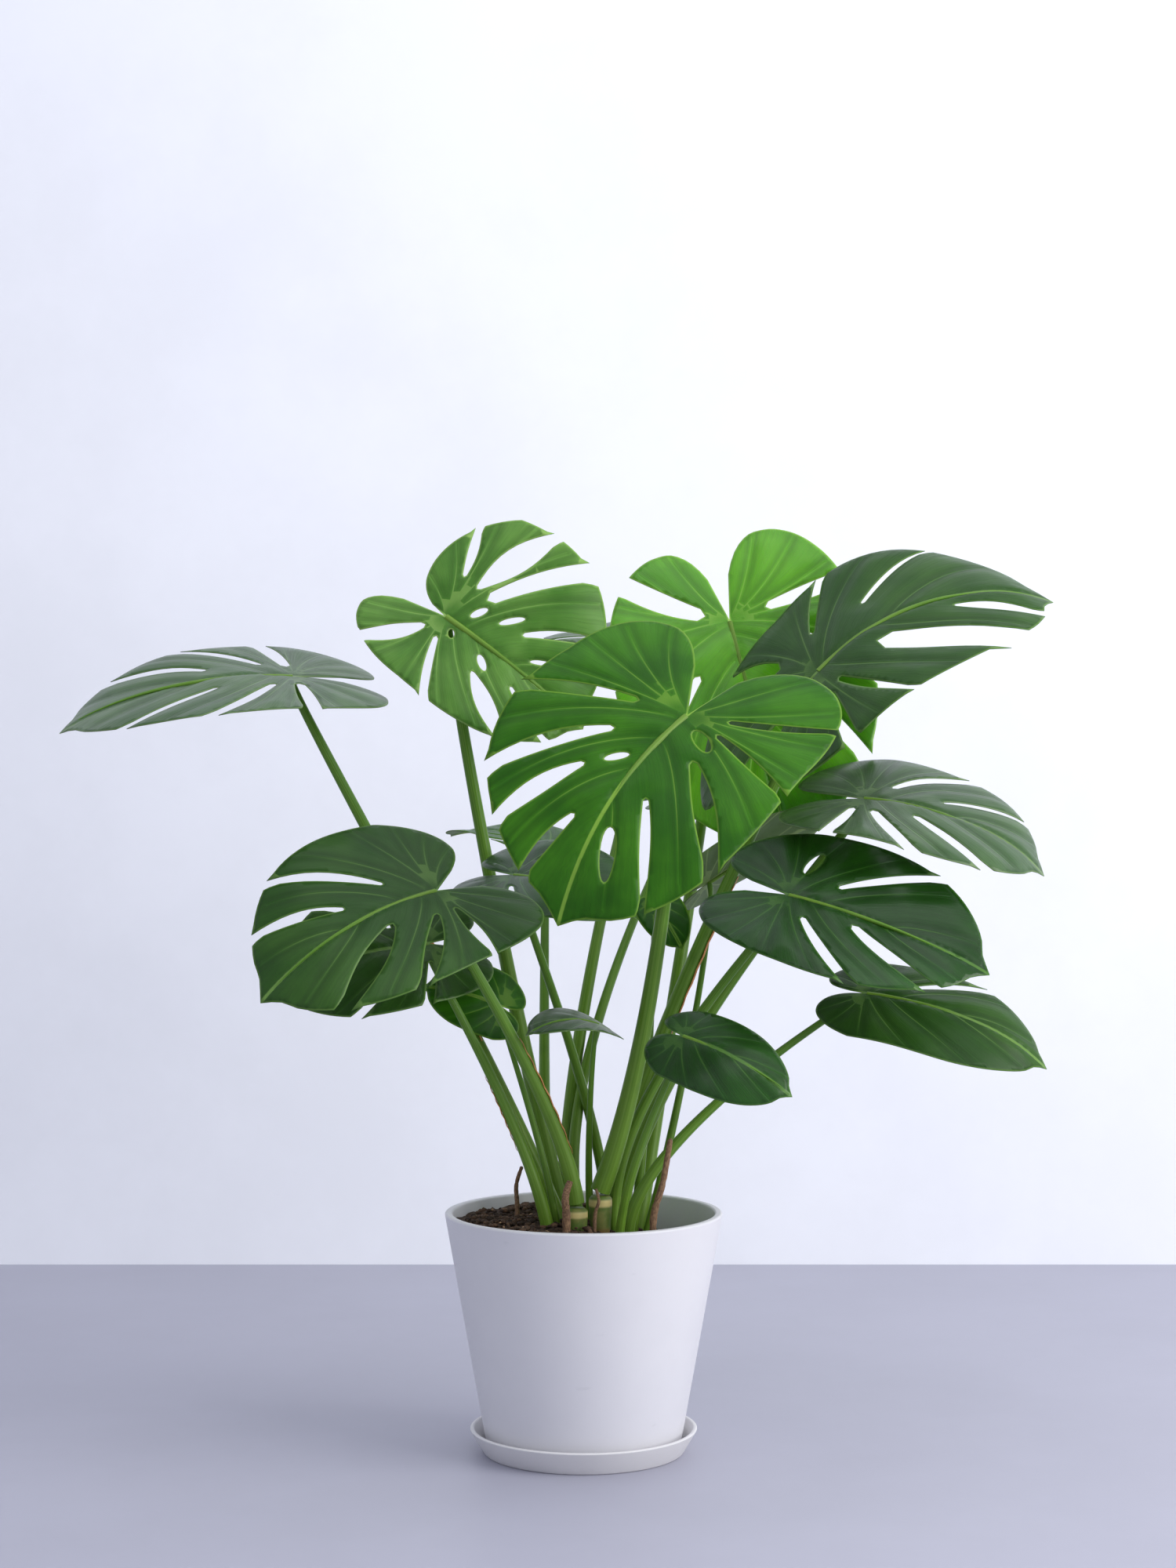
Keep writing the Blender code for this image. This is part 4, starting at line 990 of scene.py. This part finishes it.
def fibre_material(name, dark, light, scale, strength):
    """Dry plant fibre, streaked along its length."""
    nodes = Nodes(name)
    along, turn = nodes.attribute("along"), nodes.attribute("turn")
    streaks = nodes.noise(1.0, 4.0, 0.7, nodes.combine(turn, nodes.math("MULTIPLY", along, scale)))
    patches = nodes.noise(90.0, 3.0)
    colour = nodes.mix(nodes.span(streaks, 0.3, 0.7), dark, light)
    colour = nodes.mix(nodes.span(patches, 0.5, 0.75, 0.0, 0.6), colour, tuple(0.5 * c for c in dark))
    nodes.put(nodes.shader.inputs["Base Color"], colour)
    nodes.shader.inputs["Roughness"].default_value = 0.75
    nodes.bump(nodes.math("ADD", streaks, patches), strength, 0.002)
    return nodes.material


def pot_material(name, colour, shade):
    """Smooth off-white moulding with a faint mottle and a few soft scuffs."""
    nodes = Nodes(name)
    mottle = nodes.noise(7.0, 4.0, 0.6)
    fine = nodes.noise(220.0, 3.0, 0.6)
    scuff = nodes.noise(30.0, 2.0, 0.5, stretch=(1.0, 1.0, 3.0))
    base = nodes.mix(nodes.span(mottle, 0.35, 0.7), colour, shade)
    base = nodes.mix(nodes.span(scuff, 0.70, 0.78, 0.0, 0.25), base, tuple(0.8 * c for c in shade))
    nodes.put(nodes.shader.inputs["Base Color"], base)
    nodes.put(nodes.shader.inputs["Roughness"], nodes.span(mottle, 0.3, 0.7, 0.42, 0.55))
    nodes.bump(fine, 0.08, 0.0006)
    return nodes.material


def soil_material():
    """Crumbly potting mix: each crumb has its own tone between near black and tan."""
    nodes = Nodes("potting soil")
    tone = nodes.attribute("tone")
    grain = nodes.noise(240.0, 4.0, 0.7)
    colour = nodes.mix(tone, (0.030, 0.017, 0.010), (0.19, 0.105, 0.055))
    colour = nodes.mix(nodes.span(tone, 0.93, 0.97), colour, (0.42, 0.27, 0.14))
    colour = nodes.mix(nodes.span(grain, 0.4, 0.7, 0.0, 0.5), colour, (0.022, 0.013, 0.008))
    nodes.put(nodes.shader.inputs["Base Color"], colour)
    nodes.shader.inputs["Roughness"].default_value = 0.95
    nodes.bump(grain, 0.6, 0.002)
    return nodes.material


# ---------------------------------------------------------------- fine rods


def fine_tube(name, path, radii, sides, material, flat=1.0, turn=0.0, round_end=False):
    """A smooth closed rod that stores how far along and how far round each of its points is."""
    mesh = tube_mesh(name, path, radii, sides, flat, turn)
    rings = len(path)
    along = np.repeat(np.arange(rings) / (rings - 1), sides)
    around = np.tile(np.abs(np.arange(sides) / sides * 2 - 1) * 6, rings)
    add_attribute(mesh, "along", along)
    add_attribute(mesh, "turn", around)
    made = bpy.data.objects.new(name, mesh)
    mesh.materials.append(material)
    bpy.context.scene.collection.objects.link(made)
    return made


def fine_stalk(shape, sheet, material):
    """The leaf's stalk with a swollen joint under the blade."""
    curve = stalk_curve(shape, sheet, 0.0)
    places = [k / STALK_STEPS for k in range(STALK_STEPS + 1)]
    path = [curve_point(*curve, place) for place in places]
    radii = stalk_radii(shape, places)
    length = (curve[3] - curve[0]).length
    for k, place in enumerate(places):
        short = (1 - place) * length
        radii[k] *= 1 + 0.22 * math.exp(-(((short - 0.016) / 0.012) ** 2))
    return fine_tube("stem_stalk_" + shape.name, path, radii, 16, material), path, radii


def midrib(shape, sheet, material):
    """The raised rib under the blade, from the stalk to near the leaf's point."""
    steps = 22
    flat = np.array([(0.0, (0.01 + 0.90 * k / steps) * shape.length) for k in range(steps + 1)])
    space = shape_in_space(shape, flat)
    first = 0.75 * shape.stalk[1]
    path, radii = [], []
    for k, place in enumerate(space):
        radius = first * (1 - k / steps) ** 0.8 + 0.0004
        path.append(Vector(place) - shape.n * (0.55 * radius + 0.5 * FINE_THICKNESS))
        radii.append(radius)
    return fine_tube("rib_" + shape.name, path, radii, 10, material)


def fine_stem(shape, material):
    """A stem with the swellings and the pale ring that its leaves left."""
    x, y, top = shape.root
    top -= stem_clearance(shape)
    steps = 26
    path, radii = [], []
    for k in range(steps + 1):
        share = k / steps
        path.append(Vector((x, y, FOOT_HEIGHT + (top - FOOT_HEIGHT) * share)))
        swell = 0.93 + 0.05 * math.sin(9 * share) + 0.06 * math.exp(-(((share - 0.9) / 0.05) ** 2))
        radii.append(STEM_RADIUS * min(swell, 1.0) * (1 if share < 0.99 else 0.8))
    return fine_tube("stem_base_" + shape.name, path, radii, 24, material)


def fine_sheath(name, path, radii, first, last, degrees, material):
    """A dry papery strip along a stalk, a little wavy, tapered to both ends."""
    turn = math.radians(degrees)
    steps = 24
    line, widths = [], []
    for k in range(steps + 1):
        place = (first + (last - first) * k / steps) * (len(path) - 1)
        i = min(int(place), len(path) - 2)
        share = place - i
        middle = path[i].lerp(path[i + 1], share)
        ahead = (path[i + 1] - path[i]).normalized()
        side_way = Vector((math.cos(turn), -math.sin(turn), 0))
        side_way = (side_way - side_way.dot(ahead) * ahead).normalized()
        radius = radii[i] + (radii[i + 1] - radii[i]) * share
        line.append(middle + side_way * (radius + 0.0004 + 0.0005 * math.sin(1.7 * k)))
        widths.append(SHEATH_WIDTH * (0.15 + 0.85 * math.sin(math.pi * (0.06 + 0.86 * k / steps))))
    flat = SHEATH_THICKNESS / SHEATH_WIDTH
    return fine_tube("dry_sheath_" + name, line, widths, 12, material, flat, math.pi / 2 - turn)


def fine_root(number, points, first, last, material):
    """A knobbly aerial root."""
    a, b, c = (Vector(p) for p in points)
    foot = Vector((a.x, a.y, FOOT_HEIGHT + 0.015))
    control = [foot, a, b, c]
    steps = 30
    line, radii = [], []
    for k in range(steps + 1):
        place = 3 * k / steps
        i = min(int(place), 2)
        t = place - i
        before, after = control[max(i - 1, 0)], control[min(i + 2, 3)]
        one, two = control[i], control[i + 1]
        line.append(0.5 * (
            2 * one + (two - before) * t + (2 * before - 5 * one + 4 * two - after) * t**2
            + (3 * one - before - 3 * two + after) * t**3
        ))
        knob = 1 + 0.12 * math.sin(2.1 * k + number) + 0.07 * math.sin(5.3 * k)
        radii.append((first + (last - first) * k / steps) * min(knob, 1.0))
    radii[-1] *= 0.5
    return fine_tube(f"root_{number}", line, radii, 12, material)


# ---------------------------------------------------------------- pot, saucer and soil


def rounded(profile, radius, closed, steps=4):
    """The profile with each of its corners turned into a small arc."""
    found = []
    count = len(profile)
    for k, corner in enumerate(profile):
        if not closed and k in (0, count - 1):
            found.append(corner)
            continue
        here = Vector(corner)
        before, after = Vector(profile[k - 1]), Vector(profile[(k + 1) % count])
        reach = min(radius, 0.45 * (before - here).length, 0.45 * (after - here).length)
        a = here + (before - here).normalized() * reach
        b = here + (after - here).normalized() * reach
        for j in range(steps + 1):
            t = j / steps
            found.append(tuple((1 - t) ** 2 * a + 2 * t * (1 - t) * here + t**2 * b))
    return found


def ground_tone(seed):
    """A crumb's tone: most are dark and a few are tan."""
    return min(0.98, abs(seed.gauss(0.0, 0.42)))


def fine_soil(material):
    """The soil's surface under a layer of loose crumbs."""
    shape = bmesh.new()
    tone = shape.verts.layers.float.new("tone")
    rings, sectors = 46, 150
    rows = []
    for k in range(rings + 1):
        row = []
        for j in range(sectors):
            turn = 2 * math.pi * j / sectors
            share = 0.01 + 0.99 * k / rings
            x, y = 0.13 * share * math.cos(turn), 0.13 * share * math.sin(turn)
            top = soil_height(x, y)
            radius = share * (inner_radius(top) - 0.0006)
            x, y = radius * math.cos(turn), radius * math.sin(turn)
            rough = 0.0022 * noise.noise(Vector((140 * x, 140 * y, 0)))
            rough += 0.0016 * noise.noise(Vector((320 * x, 320 * y, 4)))
            vert = shape.verts.new((x, y, top - 0.0015 + rough * (1 if share < 0.985 else 0)))
            vert[tone] = 0.18 + 0.25 * noise.noise(Vector((260 * x, 260 * y, 9)))
            row.append(vert)
        rows.append(row)
    for inner, outer in zip(rows, rows[1:]):
        for j in range(sectors):
            after = (j + 1) % sectors
            shape.faces.new((inner[j], outer[j], outer[after], inner[after]))
    shape.faces.new(rows[0][::-1])
    seed = random.Random(7)
    for _ in range(CRUMBS):
        turn, share = seed.uniform(0, 2 * math.pi), math.sqrt(seed.random())
        x, y = 0.127 * share * math.cos(turn), 0.127 * share * math.sin(turn)
        size = seed.choice((0.0012, 0.0017, 0.0023, 0.0032)) * seed.uniform(0.8, 1.3)
        middle = Vector((x, y, soil_height(x, y) + 0.25 * size))
        made = bmesh.ops.create_icosphere(shape, subdivisions=1, radius=size)["verts"]
        stretch = Vector((seed.uniform(0.7, 1.4), seed.uniform(0.7, 1.4), seed.uniform(0.5, 0.9)))
        colour = ground_tone(seed)
        for vert in made:
            push = 1 + 0.5 * noise.noise(vert.co * 900 + middle * 300)
            vert.co = middle + vert.co * stretch * push
            vert[tone] = colour
    mesh = bpy.data.meshes.new("potting_soil")
    shape.to_mesh(mesh)
    shape.free()
    mesh.shade_smooth()
    mesh.materials.append(material)
    made = bpy.data.objects.new("potting_soil", mesh)
    bpy.context.scene.collection.objects.link(made)
    return made


# ---------------------------------------------------------------- stage, light and camera


def stage_plane(name, corners, colour, roughness, bump):
    """A flat sheet of the room, faintly mottled."""
    mesh = bpy.data.meshes.new(name)
    mesh.from_pydata(corners, [], [(0, 1, 2, 3)])
    nodes = Nodes(name)
    mottle = nodes.noise(2.5, 5.0, 0.65)
    base = nodes.mix(nodes.span(mottle, 0.3, 0.7), colour, tuple(0.95 * c for c in colour))
    nodes.put(nodes.shader.inputs["Base Color"], base)
    nodes.shader.inputs["Roughness"].default_value = roughness
    nodes.shader.inputs["Specular IOR Level"].default_value = 0.25
    if bump:
        nodes.bump(nodes.noise(60.0, 4.0, 0.7), bump, 0.002)
    mesh.materials.append(nodes.material)
    made = bpy.data.objects.new(name, mesh)
    bpy.context.scene.collection.objects.link(made)


def area_light(name, place, target, size, power, colour):
    """A large soft light at a place, turned to a target."""
    light = bpy.data.lights.new(name, "AREA")
    light.shape = "RECTANGLE"
    light.size, light.size_y = size
    light.energy = power
    light.color = colour
    made = bpy.data.objects.new(name, light)
    made.location = place
    made.rotation_euler = (Vector(target) - Vector(place)).to_track_quat("-Z", "Y").to_euler()
    bpy.context.scene.collection.objects.link(made)


def room():
    """The pale wall and floor, the light and the camera."""
    stage_plane("floor", FLOOR_CORNERS, FLOOR_COLOUR, 0.45, 0.05)
    stage_plane("wall", WALL_CORNERS, WALL_COLOUR, 0.8, 0.0)
    area_light("window", (2.6, -1.3, 1.5), (0, 0, 0.5), (2.2, 2.4), 76, (1.0, 0.99, 0.97))
    area_light("sky", (0.3, -0.6, 2.9), (0, 0.1, 0.5), (2.5, 2.0), 20, (0.96, 0.98, 1.0))
    world = bpy.data.worlds.new("soft room")
    world.use_nodes = True
    background = world.node_tree.nodes["Background"]
    background.inputs["Color"].default_value = (0.86, 0.89, 1.0, 1)
    background.inputs["Strength"].default_value = 0.76
    bpy.context.scene.world = world
    camera = bpy.data.cameras.new("camera")
    camera.sensor_fit = "VERTICAL"
    camera.sensor_height = 36.0
    camera.lens = CAMERA_LENS
    made = bpy.data.objects.new("camera", camera)
    made.location = CAMERA_PLACE
    made.rotation_euler = (math.pi / 2, 0, 0)
    bpy.context.scene.collection.objects.link(made)
    bpy.context.scene.camera = made


def show(piece, node):
    """Puts a finished piece in the place of its CAD node."""
    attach(piece, "root")
    if node:
        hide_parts(node)


def main():
    bpy.context.scene.view_settings.view_transform = "Standard"
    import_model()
    looks = {
        name: (
            leaf_material("leaf " + name, *row),
            underside_material("leaf underside " + name, *UNDERSIDES[name]),
            underside_material("leaf edge " + name, *UNDERSIDES[name]),
        )
        for name, row in LEAF_LOOKS.items()
    }
    stalk_green = stalk_material("stalk green", (0.115, 0.225, 0.020), (0.070, 0.190, 0.012), (0.22, 0.38, 0.06))
    stem_green = stem_material()
    dry = fibre_material("dry sheath fibre", (0.42, 0.14, 0.03), (0.80, 0.42, 0.14), 3.0, 0.4)
    bark = fibre_material("root bark", (0.11, 0.055, 0.03), (0.34, 0.20, 0.10), 26.0, 0.7)
    sheath_rows = {row[0]: row[1:] for row in SHEATHS}
    for shape in LEAVES:
        piece = fine_blade(shape, looks[shape.look])
        show(piece, "blade_" + shape.name)
        sheet = BVHTree.FromPolygons(
            [v.co.copy() for v in piece.data.vertices], [tuple(p.vertices) for p in piece.data.polygons]
        )
        piece, path, radii = fine_stalk(shape, sheet, stalk_green)
        show(piece, "stalk_" + shape.name)
        show(midrib(shape, sheet, stalk_green), None)
        if shape.on_stem:
            show(fine_stem(shape, stem_green), "stem_" + shape.name)
        if shape.name in sheath_rows:
            strip = fine_sheath(shape.name, path, radii, *sheath_rows[shape.name], dry)
            show(strip, "sheath_" + shape.name)
    for k, row in enumerate(AERIAL_ROOTS):
        show(fine_root(k + 1, *row, bark), f"aerial_root_{k + 1}")
    white = pot_material("pot white", (0.72, 0.715, 0.745), (0.69, 0.685, 0.72))
    warm = pot_material("saucer white", (0.70, 0.69, 0.695), (0.67, 0.66, 0.67))
    show(lathe("planter", rounded(pot_profile(), 0.002, True), 144, white), "pot")
    show(lathe("planter_saucer", rounded(saucer_profile(), 0.002, False), 144, warm), "saucer")
    show(fine_soil(soil_material()), "soil")
    room()


main()
